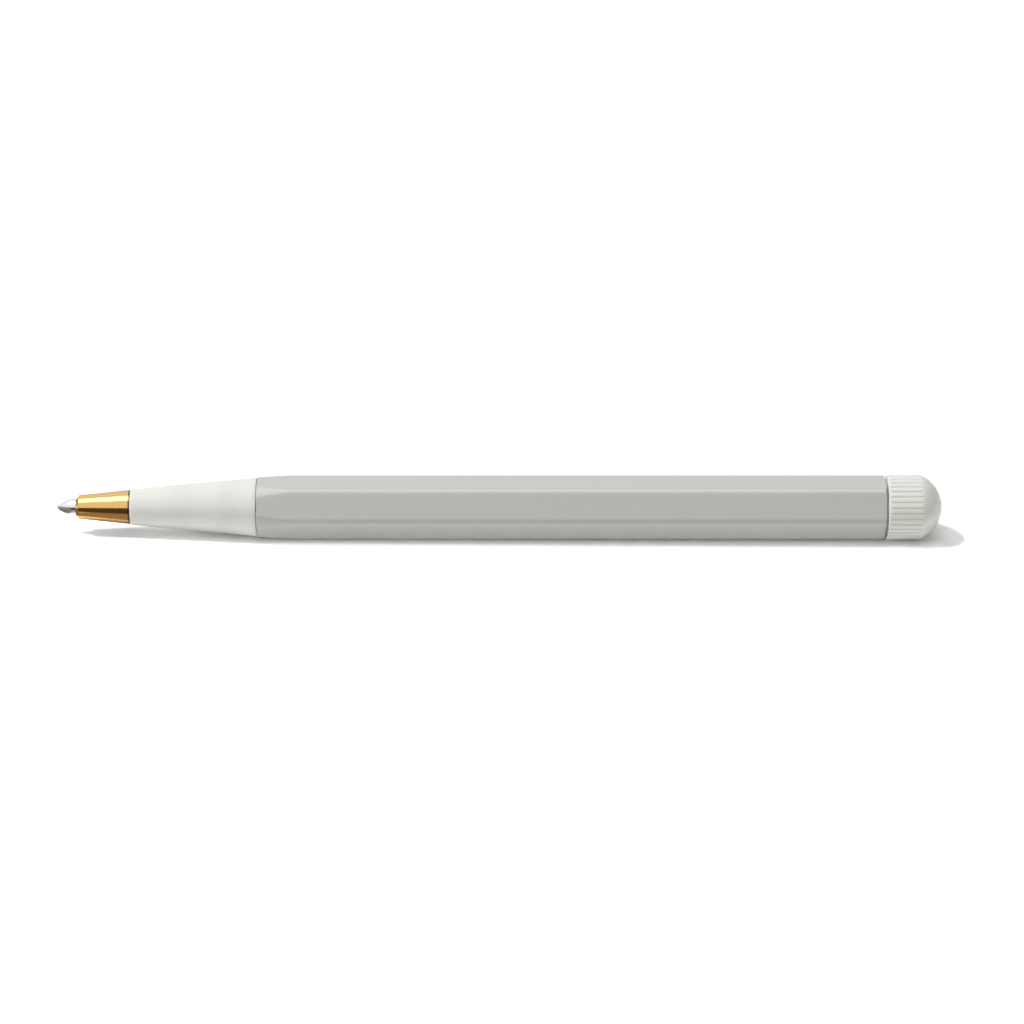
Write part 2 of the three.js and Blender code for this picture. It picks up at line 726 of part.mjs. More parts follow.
// The grooved side runs out in a dome, and a plain rim closes it in front.
function knob() {
  const rimRear = knobFront + KNOB_RIM_LENGTH;
  const rimRadius = knobRadius - KNOB_RIM_DROP;
  const sideFront = (knobFront + rimRear) / 2;
  const domeRadius = (knobRadius ** 2 + DOME_RISE ** 2) / (2 * DOME_RISE);
  const domeCentre = penLength - domeRadius;
  const blankRadius = (knobRadius + domeRadius) / 2;
  const domeAngle = Math.asin(blankRadius / domeRadius);
  const dome = [];
  for (let i = 0; i < DOME_STEPS; i += 1) {
    const angle = domeAngle * (1 - i / DOME_STEPS);
    dome.push([domeCentre + domeRadius * Math.cos(angle), domeRadius * Math.sin(angle)]);
  }
  const blank = turned([
    [sideFront, 0],
    [sideFront, blankRadius],
    ...dome,
    [penLength, 0],
  ], 2 * GROOVE_COUNT);
  const grooved = extruded(groovedOutline(), sideFront - END_GAP, penLength + END_GAP, 1);
  const rim = turned([
    [knobFront, 0],
    [knobFront, rimRadius - KNOB_RIM_CHAMFER],
    [knobFront + KNOB_RIM_CHAMFER, rimRadius],
    [rimRear, rimRadius],
    [rimRear, 0],
  ], 2 * GROOVE_COUNT);
  const bore = rod(knobFront - END_GAP, knobInsertRear + KNOB_BORE_SPARE, knobBoreRadius);
  return geometryOf(solid(blank).intersect(solid(grooved)).add(solid(rim)).subtract(solid(bore)));
}

// Materials

function plastic(color, roughness) {
  return new THREE.MeshStandardMaterial({ color, roughness, metalness: 0 });
}

function metal(color, roughness) {
  return new THREE.MeshStandardMaterial({ color, roughness, metalness: 1 });
}

function part(name, geometry, material) {
  const mesh = new THREE.Mesh(geometry, material);
  mesh.name = name;
  return mesh;
}

// The four groups are the pen's moving assemblies, each on the pen's axis.
const grip = new THREE.Group();
grip.add(
  part('nose_tip', noseTip(), metal(0xd8a860, 0.2)),
  part('grip_cone', gripCone(), plastic(0xdcddd5, 0.35)),
  part('thread_bush', threadBush(), metal(0xc09a5a, 0.35)),
  part('return_spring', returnSpring(), metal(0xb8babc, 0.3)),
);

const carriage = new THREE.Group();
carriage.add(
  part('writing_ball', writingBall(), metal(0xc8cacc, 0.1)),
  part('point_cone', pointCone(), metal(0xcfccc4, 0.15)),
  part('refill_nozzle', refillNozzle(), plastic(0xe8e8e4, 0.4)),
  part('refill_tube', refillTube(), plastic(0xf0f2f2, 0.2)),
  part('ink_column', inkColumn(), plastic(0x14161c, 0.2)),
  part('refill_rear_plug', refillRearPlug(), plastic(0x3a3c40, 0.5)),
  part('refill_cup', refillCup(), plastic(0x50535a, 0.5)),
  part('plunger', plunger(), plastic(0x50535a, 0.5)),
  part('follower_pin', followerPin(), metal(0xb0b2b4, 0.25)),
);

const body = new THREE.Group();
body.add(
  part('barrel', barrel(), plastic(0xd0d1ce, 0.45)),
  part('barrel_insert', barrelInsert(), metal(0xc09a5a, 0.35)),
  part('guide_sleeve', guideSleeve(), plastic(0xe2e0d8, 0.45)),
  part('thrust_washer', thrustWasher(), plastic(0xf2f2ee, 0.4)),
  part('end_bush', endBush(), metal(0xc09a5a, 0.35)),
);

const twist = new THREE.Group();
twist.add(
  part('cam_tube', camTube(), plastic(0x46484c, 0.4)),
  part('drive_shaft', driveShaft(), metal(0xa8aaac, 0.3)),
  part('friction_ring', frictionRing(), plastic(0x202022, 0.7)),
  part('seam_washer', seamWasher(), plastic(0x4a4a48, 0.6)),
  part('knob_insert', knobInsert(), metal(0xc09a5a, 0.35)),
  part('knob', knob(), plastic(0xdcddd6, 0.35)),
);

const pen = new THREE.Group();
pen.add(grip, carriage, body, twist);
pen.position.set(-penLength / 2, 0, axisHeight);
pen.updateMatrixWorld(true);

export default pen;
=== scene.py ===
# %% [markdown]
# # A twist pen, dressed for its portrait
#
# The pen is a slim ballpoint: a hexagonal barrel, a smooth front cone, a turned brass nose and a grooved
# knob that is twisted to bring the point out. The CAD model already gives every piece its place. This
# script gives the pieces their fine shapes and their finishes, and sets up a small photo studio.
#
# Everything is in metres, and the pen lies along X with its tip towards the left. A place along the pen
# is called a station: its distance in millimetres behind the very tip.

import json
import math
from functools import partial
import bmesh
import bpy
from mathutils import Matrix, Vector


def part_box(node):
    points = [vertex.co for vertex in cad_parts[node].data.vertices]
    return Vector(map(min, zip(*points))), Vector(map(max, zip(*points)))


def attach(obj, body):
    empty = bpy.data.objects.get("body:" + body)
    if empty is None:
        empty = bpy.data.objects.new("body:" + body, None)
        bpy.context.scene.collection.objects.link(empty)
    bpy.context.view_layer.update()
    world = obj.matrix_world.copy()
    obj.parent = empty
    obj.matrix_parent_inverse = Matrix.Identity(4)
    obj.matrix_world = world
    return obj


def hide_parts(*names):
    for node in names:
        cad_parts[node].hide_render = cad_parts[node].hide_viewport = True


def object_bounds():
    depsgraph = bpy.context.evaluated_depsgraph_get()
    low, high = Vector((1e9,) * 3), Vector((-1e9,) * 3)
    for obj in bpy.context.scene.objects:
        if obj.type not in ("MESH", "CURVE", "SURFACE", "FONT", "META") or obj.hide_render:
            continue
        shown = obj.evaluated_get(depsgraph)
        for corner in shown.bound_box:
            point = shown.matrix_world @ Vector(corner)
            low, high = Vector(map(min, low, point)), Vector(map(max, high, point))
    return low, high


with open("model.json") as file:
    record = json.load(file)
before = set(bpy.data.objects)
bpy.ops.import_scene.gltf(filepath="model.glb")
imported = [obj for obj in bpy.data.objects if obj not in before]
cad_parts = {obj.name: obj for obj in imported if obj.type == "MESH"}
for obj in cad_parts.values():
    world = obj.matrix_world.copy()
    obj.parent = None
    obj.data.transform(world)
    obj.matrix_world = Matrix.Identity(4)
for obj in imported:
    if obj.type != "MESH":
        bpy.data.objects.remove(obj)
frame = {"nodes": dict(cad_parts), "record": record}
cad_low, cad_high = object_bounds()
MM = 0.001
TIP = cad_low.x
cone_low, cone_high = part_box("grip_cone")
AXIS = (cone_low.z + cone_high.z) / 2
pen_length = (cad_high.x - cad_low.x) / MM
print(f"CAD model: {pen_length:.1f} mm long, its axis {AXIS / MM:.3f} mm above the floor")


def place(station):
    """Turns a station in millimetres into an X coordinate in metres."""
    return TIP + station * MM


def span(node):
    """The stations of a CAD piece's front and rear ends."""
    low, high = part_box(node)
    return (low.x - TIP) / MM, (high.x - TIP) / MM


def reach(node):
    """How far a CAD piece reaches up from the pen's axis, in millimetres."""
    return (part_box(node)[1].z - AXIS) / MM


# %% [markdown]
# ## The camera
#
# A product photographer stands well back with a long lens, so that the pen's two ends look the same
# size. The camera looks down at 30 degrees, and it is aimed a little behind the pen's middle, because
# the pen sits slightly left of the picture's middle. It is made first, since everything else is judged
# through it.

# %% Camera
LENS = 116.0
DISTANCE = 0.53
ELEVATION = math.radians(30)
AIM_ALONG = 2.03
AIM_DROP = 0.8

view_line = Vector((0, math.cos(ELEVATION), -math.sin(ELEVATION)))
picture_up = Vector((0, math.sin(ELEVATION), math.cos(ELEVATION)))
aim = Vector((AIM_ALONG * MM, 0, AXIS)) - picture_up * AIM_DROP * MM
camera = bpy.data.objects.new("camera", bpy.data.cameras.new("camera"))
camera.data.lens = LENS
camera.data.sensor_width = 36.0
camera.data.clip_start = 0.01
camera.location = aim - view_line * DISTANCE
camera.rotation_euler = view_line.to_track_quat("-Z", "Y").to_euler()
bpy.context.scene.collection.objects.link(camera)
bpy.context.scene.camera = camera
print(f"camera at {tuple(round(value, 3) for value in camera.location)}")

# %% [markdown]
# ## Small helpers for node trees
#
# Node trees are drawn by hand in Blender's editor, but a script can build them too. A few short helpers
# keep that readable. `put` feeds a socket with a number or with another node's output. `sums` makes one
# Math node, and `remap` one Map Range node. `tidy` spreads the nodes out, so that the tree can be read
# when it is opened in the editor. A long tree gets a short name for `sums` with the tree filled in.
# `axes` splits a place into its X, Y and Z, and `brighten` scales a colour.

# %% Node helpers


def put(tree, value, socket):
    if isinstance(value, bpy.types.NodeSocket):
        tree.links.new(value, socket)
    else:
        socket.default_value = value


def sums(tree, operation, *values):
    node = tree.nodes.new("ShaderNodeMath")
    node.operation = operation
    for value, socket in zip(values, node.inputs):
        put(tree, value, socket)
    return node.outputs[0]


def remap(tree, value, low, high, new_low, new_high, smooth=False):
    node = tree.nodes.new("ShaderNodeMapRange")
    node.interpolation_type = "SMOOTHSTEP" if smooth else "LINEAR"
    for given, socket in zip((value, low, high, new_low, new_high), node.inputs):
        put(tree, given, socket)
    return node.outputs[0]


def axes(tree, vector):
    node = tree.nodes.new("ShaderNodeSeparateXYZ")
    put(tree, vector, node.inputs[0])
    return node.outputs


def brighten(tree, colour, factor):
    node = tree.nodes.new("ShaderNodeVectorMath")
    node.operation = "SCALE"
    put(tree, colour, node.inputs[0])
    put(tree, factor, node.inputs["Scale"])
    return node.outputs[0]


def tidy(tree):
    depth = {}
    for _ in range(len(tree.nodes)):
        for link in tree.links:
            wanted = depth.get(link.from_node.name, 0) + 1
            if wanted > depth.get(link.to_node.name, 0):
                depth[link.to_node.name] = wanted
    rows = {}
    for node in tree.nodes:
        column = depth.get(node.name, 0)
        rows[column] = rows.get(column, 0) + 1
        node.location = (220 * column, -180 * rows[column])


# %% [markdown]
# ## Finishes that several materials share
#
# Three effects come back in many materials, so each is a shader node group with named inputs. Moulded
# grain is the faint pebbled skin that a steel mould leaves on plastic. Turning lines are the fine rings
# that a lathe leaves round a part. Mottle is the slight unevenness of colour that keeps a surface from
# looking painted by a computer. All three read Object coordinates, changed from metres to millimetres.

# %% Shared shader groups


def shader_group(name, inputs, outputs):
    tree = bpy.data.node_groups.new(name, "ShaderNodeTree")
    for label, kind, default in inputs:
        socket = tree.interface.new_socket(label, in_out="INPUT", socket_type=kind)
        socket.default_value = default
    for label, kind in outputs:
        tree.interface.new_socket(label, in_out="OUTPUT", socket_type=kind)
    return tree, tree.nodes.new("NodeGroupInput"), tree.nodes.new("NodeGroupOutput")


def millimetres(tree):
    """Object coordinates in millimetres, measured from the pen's axis."""
    coordinates = tree.nodes.new("ShaderNodeTexCoord")
    mapping = tree.nodes.new("ShaderNodeMapping")
    mapping.inputs["Location"].default_value = (0, 0, -AXIS / MM)
    mapping.inputs["Scale"].default_value = (1 / MM, 1 / MM, 1 / MM)
    tree.links.new(coordinates.outputs["Object"], mapping.inputs["Vector"])
    return mapping.outputs["Vector"]


def noise(tree, vector, scale, detail=2.0, roughness=0.5):
    node = tree.nodes.new("ShaderNodeTexNoise")
    put(tree, vector, node.inputs["Vector"])
    put(tree, scale, node.inputs["Scale"])
    node.inputs["Detail"].default_value = detail
    node.inputs["Roughness"].default_value = roughness
    return node.outputs["Fac"]


FLOAT = "NodeSocketFloat"
COLOUR = "NodeSocketColor"

grain_group, given, made = shader_group(
    "moulded_grain",
    [("Grain Size", FLOAT, 0.12), ("Unevenness Size", FLOAT, 3.0), ("Unevenness", FLOAT, 0.3)],
    [("Height", FLOAT)],
)
where = millimetres(grain_group)
fine = noise(grain_group, where, sums(grain_group, "DIVIDE", 1.0, given.outputs["Grain Size"]))
broad = noise(grain_group, where, sums(grain_group, "DIVIDE", 1.0, given.outputs["Unevenness Size"]))
share = sums(grain_group, "MULTIPLY", broad, given.outputs["Unevenness"])
put(grain_group, sums(grain_group, "ADD", fine, share), made.inputs["Height"])
tidy(grain_group)

turning_group, given, made = shader_group(
    "turning_lines",
    [("Pitch", FLOAT, 0.05), ("Wander", FLOAT, 0.02)],
    [("Height", FLOAT), ("Streaks", FLOAT)],
)
where = axes(turning_group, millimetres(turning_group))
squeezed = turning_group.nodes.new("ShaderNodeCombineXYZ")
squeeze = (("X", "DIVIDE", "Pitch"), ("Y", "MULTIPLY", "Wander"), ("Z", "MULTIPLY", "Wander"))
for axis, operation, label in squeeze:
    length = sums(turning_group, operation, where[axis], given.outputs[label])
    put(turning_group, length, squeezed.inputs[axis])
lines = noise(turning_group, squeezed.outputs[0], 1.0, detail=3.0)
put(turning_group, lines, made.inputs["Height"])
put(turning_group, remap(turning_group, lines, 0.35, 0.65, 0.0, 1.0), made.inputs["Streaks"])
tidy(turning_group)

mottle_group, given, made = shader_group(
    "mottle",
    [("Colour", COLOUR, (0.5, 0.5, 0.5, 1)), ("Size", FLOAT, 6.0), ("Amount", FLOAT, 0.03)],
    [("Colour", COLOUR), ("Cloud", FLOAT)],
)
where = millimetres(mottle_group)
cloud = noise(mottle_group, where, sums(mottle_group, "DIVIDE", 1.0, given.outputs["Size"]), detail=3.0)
swing = sums(mottle_group, "MULTIPLY", sums(mottle_group, "SUBTRACT", cloud, 0.5), given.outputs["Amount"])
level = sums(mottle_group, "ADD", 1.0, swing)
put(mottle_group, brighten(mottle_group, given.outputs["Colour"], level), made.inputs["Colour"])
put(mottle_group, cloud, made.inputs["Cloud"])
tidy(mottle_group)

# %% [markdown]
# ## Materials
#
# Each finish is a Principled BSDF of its own, and the shared groups only feed its colour, roughness and
# bump. `plastic` makes a moulded finish and `metal` a turned one. The numbers say what the surface is:
# its base colour as linear light, its roughness, and how deep its grain or its lines are. The off-white
# plastic lets light wander about a millimetre inside it, which is what makes it look soft and milky.

# %% Materials
materials = {}


def place_group(tree, group, **values):
    node = tree.nodes.new("ShaderNodeGroup")
    node.node_tree = group
    for label, value in values.items():
        put(tree, value, node.inputs[label.replace("_", " ").title()])
    return node


def new_material(slot):
    material = bpy.data.materials.new(slot)
    material.use_nodes = True
    materials[slot] = material
    tree = material.node_tree
    return tree, tree.nodes["Principled BSDF"]


def add_bump(tree, shader, height, depth):
    """Depth is the height of the relief in millimetres."""
    bump = tree.nodes.new("ShaderNodeBump")
    bump.inputs["Distance"].default_value = depth * MM
    put(tree, height, bump.inputs["Height"])
    put(tree, bump.outputs["Normal"], shader.inputs["Normal"])


def plastic(
    slot, colour, roughness, grain_size=0.12, grain_depth=0.002, mottle=0.02, depth=0.0, shine=0.5
):
    """Depth is how far light wanders inside a pale plastic, in millimetres. Zero is a dense plastic."""
    tree, shader = new_material(slot)
    tint = place_group(tree, mottle_group, colour=(*colour, 1), amount=mottle)
    grain = place_group(tree, grain_group, grain_size=grain_size)
    put(tree, tint.outputs["Colour"], shader.inputs["Base Color"])
    spread = remap(tree, tint.outputs["Cloud"], 0.0, 1.0, roughness - 2 * mottle, roughness + 2 * mottle)
    put(tree, spread, shader.inputs["Roughness"])
    shader.inputs["Specular IOR Level"].default_value = shine
    if depth:
        shader.inputs["Subsurface Weight"].default_value = 1.0
        shader.inputs["Subsurface Radius"].default_value = (1.0, 1.0, 0.9)
        shader.inputs["Subsurface Scale"].default_value = depth * MM
    add_bump(tree, shader, grain.outputs["Height"], grain_depth)
    tidy(tree)


# How quickly the painted shade line darkens, and how much of the colour it leaves.
PAINTED_SHADE_EDGE = 0.05
PAINTED_SHADE_LEFT = 0.3


def metal(slot, colour, roughness, pitch=0.05, line_depth=0.0005, mottle=0.03, painted_shade_from=None):
    """The last argument is the station behind which the metal's colour is darkened. This paints the shade
    that falls in a joint's gap as a thin dark line.
    """
    tree, shader = new_material(slot)
    tint = place_group(tree, mottle_group, colour=(*colour, 1), amount=mottle, size=3.0)
    lines = place_group(tree, turning_group, pitch=pitch)
    shade = tint.outputs["Colour"]
    # Painted shade: the colour darkens behind the given station, standing in for the shaded gap at a
    # joint.
    if painted_shade_from:
        station = sums(tree, "SUBTRACT", axes(tree, millimetres(tree))["X"], TIP / MM)
        share = remap(tree, station, painted_shade_from - PAINTED_SHADE_EDGE, painted_shade_from, 1.0, PAINTED_SHADE_LEFT, smooth=True)
        shade = brighten(tree, shade, share)
    put(tree, shade, shader.inputs["Base Color"])
    spread = remap(tree, lines.outputs["Streaks"], 0.0, 1.0, roughness * 0.8, roughness * 1.2)
    put(tree, spread, shader.inputs["Roughness"])
    shader.inputs["Metallic"].default_value = 1.0
    add_bump(tree, shader, lines.outputs["Height"], line_depth)
    tidy(tree)


plastic("grey_plastic", (0.534, 0.539, 0.519), 0.31, grain_depth=0.0012, mottle=0.01, shine=0.68)
satin = {"grain_size": 0.3, "grain_depth": 0.0003, "mottle": 0.006, "depth": 1.1, "shine": 0.75}
plastic("off_white_plastic", (0.805, 0.81, 0.765), 0.29, **satin)
plastic("washer_plastic", (0.55, 0.55, 0.48), 0.6)
plastic("nozzle_plastic", (0.8, 0.8, 0.77), 0.4)
plastic("plug_plastic", (0.04, 0.04, 0.045), 0.45)
plastic("sleeve_plastic", (0.76, 0.74, 0.68), 0.42)
plastic("mechanism_plastic", (0.08, 0.085, 0.1), 0.4)
plastic("ring_rubber", (0.015, 0.015, 0.016), 0.7, grain_depth=0.004)
plastic("ink", (0.01, 0.012, 0.02), 0.15, grain_depth=0.0)
# The nose's rear rim gets a painted shade line where it meets the cone.
metal("nose_brass", (0.81, 0.51, 0.195), 0.16, painted_shade_from=span("grip_cone")[0] - 0.17)
metal("bush_brass", (0.80, 0.58, 0.27), 0.25, line_depth=0.001)
metal("point_steel", (0.84, 0.83, 0.82), 0.2)
metal("ball_steel", (0.72, 0.72, 0.73), 0.12)
metal("spring_steel", (0.62, 0.63, 0.64), 0.25)
metal("pin_steel", (0.55, 0.56, 0.57), 0.22)
metal("shaft_aluminium", (0.75, 0.76, 0.77), 0.3, pitch=0.12)

tree, shader = new_material("tube_plastic")
tint = place_group(tree, mottle_group, colour=(0.9, 0.92, 0.92, 1))
put(tree, tint.outputs["Colour"], shader.inputs["Base Color"])
grain = place_group(tree, grain_group, grain_size=1.0)
add_bump(tree, shader, grain.outputs["Height"], 0.002)
shader.inputs["Roughness"].default_value = 0.12
shader.inputs["IOR"].default_value = 1.49
shader.inputs["Transmission Weight"].default_value = 0.9
tidy(tree)
print(f"{len(materials)} materials, {len(bpy.data.node_groups)} shared groups")

# %% [markdown]
# ## Turned shapes
#
# Most of a pen comes off a lathe or out of a round mould. Such a piece is fully described by its
# section: a closed line of stations and radii. Blender's Spin or Screw would turn it too, but a short
# function of our own gives exact control over the rings. Real edges are never perfectly sharp, so each
# corner of a section can be given a rounding, and an extra ring beside it keeps the shading clean.

# %% Turned shapes
RING_BESIDE = 1.4


def rounded(corners, steps=4):
    """Rounds a closed section's corners, each (station, radius, rounding) or just (station, radius)."""
    section = []
    for index, corner in enumerate(corners):
        here = Vector(corner[:2])
        rounding = corner[2] if len(corner) > 2 else 0
        if not rounding:
            section.append(tuple(here))
            continue
        before = (Vector(corners[index - 1][:2]) - here).normalized()
        after = (Vector(corners[(index + 1) % len(corners)][:2]) - here).normalized()
        half = before.angle(after) / 2
        cut = rounding / math.tan(half)
        centre = here + (before + after).normalized() * rounding / math.sin(half)
        section.append(tuple(here + before * cut * RING_BESIDE))
        for step in range(steps + 1):
            share = step / steps
            spot = (here + before * cut).lerp(here + after * cut, share) - centre
            section.append(tuple(centre + spot.normalized() * rounding))
        section.append(tuple(here + after * cut * RING_BESIDE))
    return section


def turned(name, section, columns=96):
    """Turns a closed section round the pen's axis into a closed mesh. A radius of zero makes a pole."""
    shape = bmesh.new()
    rings = []
    for station, radius in section:
        if radius < 1e-6:
            rings.append([shape.verts.new((place(station), 0, AXIS))])
            continue
        ring = []
        for column in range(columns):
            angle = 2 * math.pi * column / columns
            side = radius * MM * math.cos(angle)
            up = radius * MM * math.sin(angle)
            ring.append(shape.verts.new((place(station), side, AXIS + up)))
        rings.append(ring)
    for ring, following in zip(rings, rings[1:] + rings[:1]):
        if len(ring) + len(following) == 2:
            continue
        for column in range(columns):
            beside = (column + 1) % columns
            corners = [ring[column % len(ring)], ring[beside % len(ring)]]
            corners += [following[beside % len(following)], following[column % len(following)]]
            shape.faces.new(list(dict.fromkeys(corners)))
    bmesh.ops.recalc_face_normals(shape, faces=shape.faces)
    return piece_from(name, shape)


def piece_from(name, shape):
    mesh = bpy.data.meshes.new(name)
    shape.to_mesh(mesh)
    shape.free()
    piece = bpy.data.objects.new(name, mesh)
    bpy.context.scene.collection.objects.link(piece)
    smooth(piece)
    return piece


def smooth(piece, angle=38):
    piece.data.shade_smooth()
    piece.data.set_sharp_from_angle(angle=math.radians(angle))


def fit(piece, body, slot, *nodes):
    """Gives a finished piece its material and its body, and hides the CAD nodes that it stands for."""
    piece.data.materials.clear()
    piece.data.materials.append(materials[slot])
    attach(piece, body)
    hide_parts(*nodes)
    triangles = sum(len(face.vertices) - 2 for face in piece.data.polygons)
    print(f"{piece.name}: {triangles} triangles on {body}")


# %% [markdown]
# ## Geometry Nodes on a turned blank
#
# The barrel's flats, the knob's grooves, the screw thread and the grip on the knob's liner all follow a
# rule that repeats round the axis. Each starts as a plain turned blank. A Geometry Nodes tree then moves
# every point in or out along its own radius, just as a milling cutter or a thread roller would. The
# helpers here start such a tree with named inputs, read a point's place as station, angle and radius,
# and turn the finished result into a plain mesh.

# %% Geometry Nodes helpers


def geometry_tree(name, inputs):
    """Starts a tree with named number inputs. Gives the tree and a dictionary of its inputs."""
    tree = bpy.data.node_groups.new(name, "GeometryNodeTree")
    tree.interface.new_socket("Geometry", in_out="OUTPUT", socket_type="NodeSocketGeometry")
    tree.interface.new_socket("Geometry", in_out="INPUT", socket_type="NodeSocketGeometry")
    for label, default in inputs.items():
        kind = "NodeSocketInt" if isinstance(default, int) else "NodeSocketFloat"
        tree.interface.new_socket(label, in_out="INPUT", socket_type=kind).default_value = default
    tree.interface.new_socket("Finish", in_out="INPUT", socket_type="NodeSocketMaterial")
    group_input = tree.nodes.new("NodeGroupInput")
    return tree, group_input.outputs


def polar(tree):
    """Reads each point's station, angle and radius, in millimetres and radians."""
    where = axes(tree, tree.nodes.new("GeometryNodeInputPosition").outputs[0])
    along = sums(tree, "SUBTRACT", where["X"], TIP)
    station = sums(tree, "DIVIDE", along, MM)
    side = sums(tree, "DIVIDE", where["Y"], MM)
    up = sums(tree, "DIVIDE", sums(tree, "SUBTRACT", where["Z"], AXIS), MM)
    angle = sums(tree, "ARCTAN2", up, side)
    squares = sums(tree, "ADD", sums(tree, "MULTIPLY", up, up), sums(tree, "MULTIPLY", side, side))
    return station, angle, sums(tree, "SQRT", squares)


def unpolar(tree, station, angle, radius):
    """Turns a station, an angle and a radius back into a position."""
    spot = tree.nodes.new("ShaderNodeCombineXYZ")
    side = sums(tree, "MULTIPLY", radius, sums(tree, "COSINE", angle))
    up = sums(tree, "MULTIPLY", radius, sums(tree, "SINE", angle))
    put(tree, sums(tree, "MULTIPLY_ADD", station, MM, TIP), spot.inputs["X"])
    put(tree, sums(tree, "MULTIPLY", side, MM), spot.inputs["Y"])
    put(tree, sums(tree, "MULTIPLY_ADD", up, MM, AXIS), spot.inputs["Z"])
    return spot.outputs[0]


def end_tree(tree, given, geometry, position):
    """Moves the points, realizes instances and sets the material, which ends every tree."""
    move = tree.nodes.new("GeometryNodeSetPosition")
    put(tree, geometry, move.inputs["Geometry"])
    put(tree, position, move.inputs["Position"])
    close_tree(tree, given, move.outputs[0])


def close_tree(tree, given, geometry):
    realize = tree.nodes.new("GeometryNodeRealizeInstances")
    finish = tree.nodes.new("GeometryNodeSetMaterial")
    output = tree.nodes.new("NodeGroupOutput")
    put(tree, geometry, realize.inputs["Geometry"])
    put(tree, realize.outputs[0], finish.inputs["Geometry"])
    put(tree, given["Finish"], finish.inputs["Material"])
    put(tree, finish.outputs[0], output.inputs[0])
    tidy(tree)


def grow(piece, tree, slot, **values):
    """Runs a tree on a piece with the given inputs, and keeps the result as a plain mesh."""
    modifier = piece.modifiers.new(tree.name, "NODES")
    modifier.node_group = tree
    labels = {item.name: item.identifier for item in tree.interface.items_tree if item.in_out == "INPUT"}
    for label, value in values.items():
        modifier[labels[label.replace("_", " ").title()]] = value
    modifier[labels["Finish"]] = materials[slot]
    settled = piece.evaluated_get(bpy.context.evaluated_depsgraph_get())
    mesh = bpy.data.meshes.new_from_object(settled)
    piece.modifiers.remove(modifier)
    old = piece.data
    piece.data = mesh
    bpy.data.meshes.remove(old)
    piece.data.name = piece.name
    smooth(piece)


# %% [markdown]
# ## The barrel
#
# The barrel is a long moulded shell. Its cross-section is a hexagon 9.2 mm across its flats, with corners
# rounded to 1.4 mm. In front it is turned down until it is round where it meets the cone, and that is
# what draws the soft arcs at the front of every facet. Subdivision modelling could only guess those arcs,
# so they are left to the rule that makes them: at every angle the surface is the lower of the turned
# blank and the hexagon, with a small softening where the two cross. The blank stands a little proud of
# the hexagon's corners, so behind the turned front it is the flats that win.

# %% Tree: mill the flats
FLAT_RADIUS = reach("barrel")
CORNER_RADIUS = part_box("barrel")[1].y / MM
CORNER_SPREAD = 1 / math.cos(math.pi / 6)
CORNER_ROUNDING = (FLAT_RADIUS * CORNER_SPREAD - CORNER_RADIUS) / (CORNER_SPREAD - 1)
BARREL_FRONT, BARREL_REAR = span("barrel")
print(f"barrel: flats {FLAT_RADIUS:.2f}, corners {CORNER_RADIUS:.2f}, rounded to {CORNER_ROUNDING:.2f} mm")

mill_tree, given = geometry_tree("mill_flats", {
    "Flat Radius": FLAT_RADIUS,
    "Corner Rounding": CORNER_ROUNDING,
    "Front": BARREL_FRONT,
    "Rear": BARREL_REAR,
    "Edge Rounding": 0.1,
    "Softness": 0.06,
})
mill = partial(sums, mill_tree)
station, angle, radius = polar(mill_tree)
sixth = math.pi / 6
nearest_flat = mill("WRAP", mill("SUBTRACT", angle, sixth), sixth, -sixth)
from_flat = mill("ABSOLUTE", nearest_flat)
flat_line = mill("DIVIDE", given["Flat Radius"], mill("COSINE", from_flat))
inner = mill("SUBTRACT", given["Flat Radius"], given["Corner Rounding"])
corner_centre = mill("DIVIDE", inner, math.cos(sixth))
from_corner = mill("SUBTRACT", sixth, from_flat)
off_ray = mill("MULTIPLY", corner_centre, mill("SINE", from_corner))
up_ray = mill("MULTIPLY", corner_centre, mill("COSINE", from_corner))
rounding_squared = mill("POWER", given["Corner Rounding"], 2.0)
rest = mill("SUBTRACT", rounding_squared, mill("POWER", off_ray, 2.0))
corner_line = mill("ADD", up_ray, mill("SQRT", mill("MAXIMUM", rest, 0.0)))
half_flat = mill("MULTIPLY", corner_centre, 0.5)
flat_end = mill("ARCTAN2", half_flat, given["Flat Radius"])
on_corner = mill("GREATER_THAN", from_flat, flat_end)
step_out = mill("SUBTRACT", corner_line, flat_line)
hexagon = mill("MULTIPLY_ADD", on_corner, step_out, flat_line)
front_start = mill("ADD", given["Front"], given["Edge Rounding"])
rear_start = mill("SUBTRACT", given["Rear"], given["Edge Rounding"])
past_front = mill("SUBTRACT", front_start, station)
past_rear = mill("SUBTRACT", station, rear_start)
past = mill("MAXIMUM", mill("MAXIMUM", past_front, past_rear), 0.0)
edge_squared = mill("POWER", given["Edge Rounding"], 2.0)
left = mill("SUBTRACT", edge_squared, mill("POWER", past, 2.0))
drop = mill("SQRT", mill("MAXIMUM", left, 0.0))
inset = mill("SUBTRACT", given["Edge Rounding"], drop)
limit = mill("SUBTRACT", hexagon, inset)
lowered = mill("SMOOTH_MIN", radius, limit, given["Softness"])
end_tree(mill_tree, given, given["Geometry"], unpolar(mill_tree, station, angle, lowered))

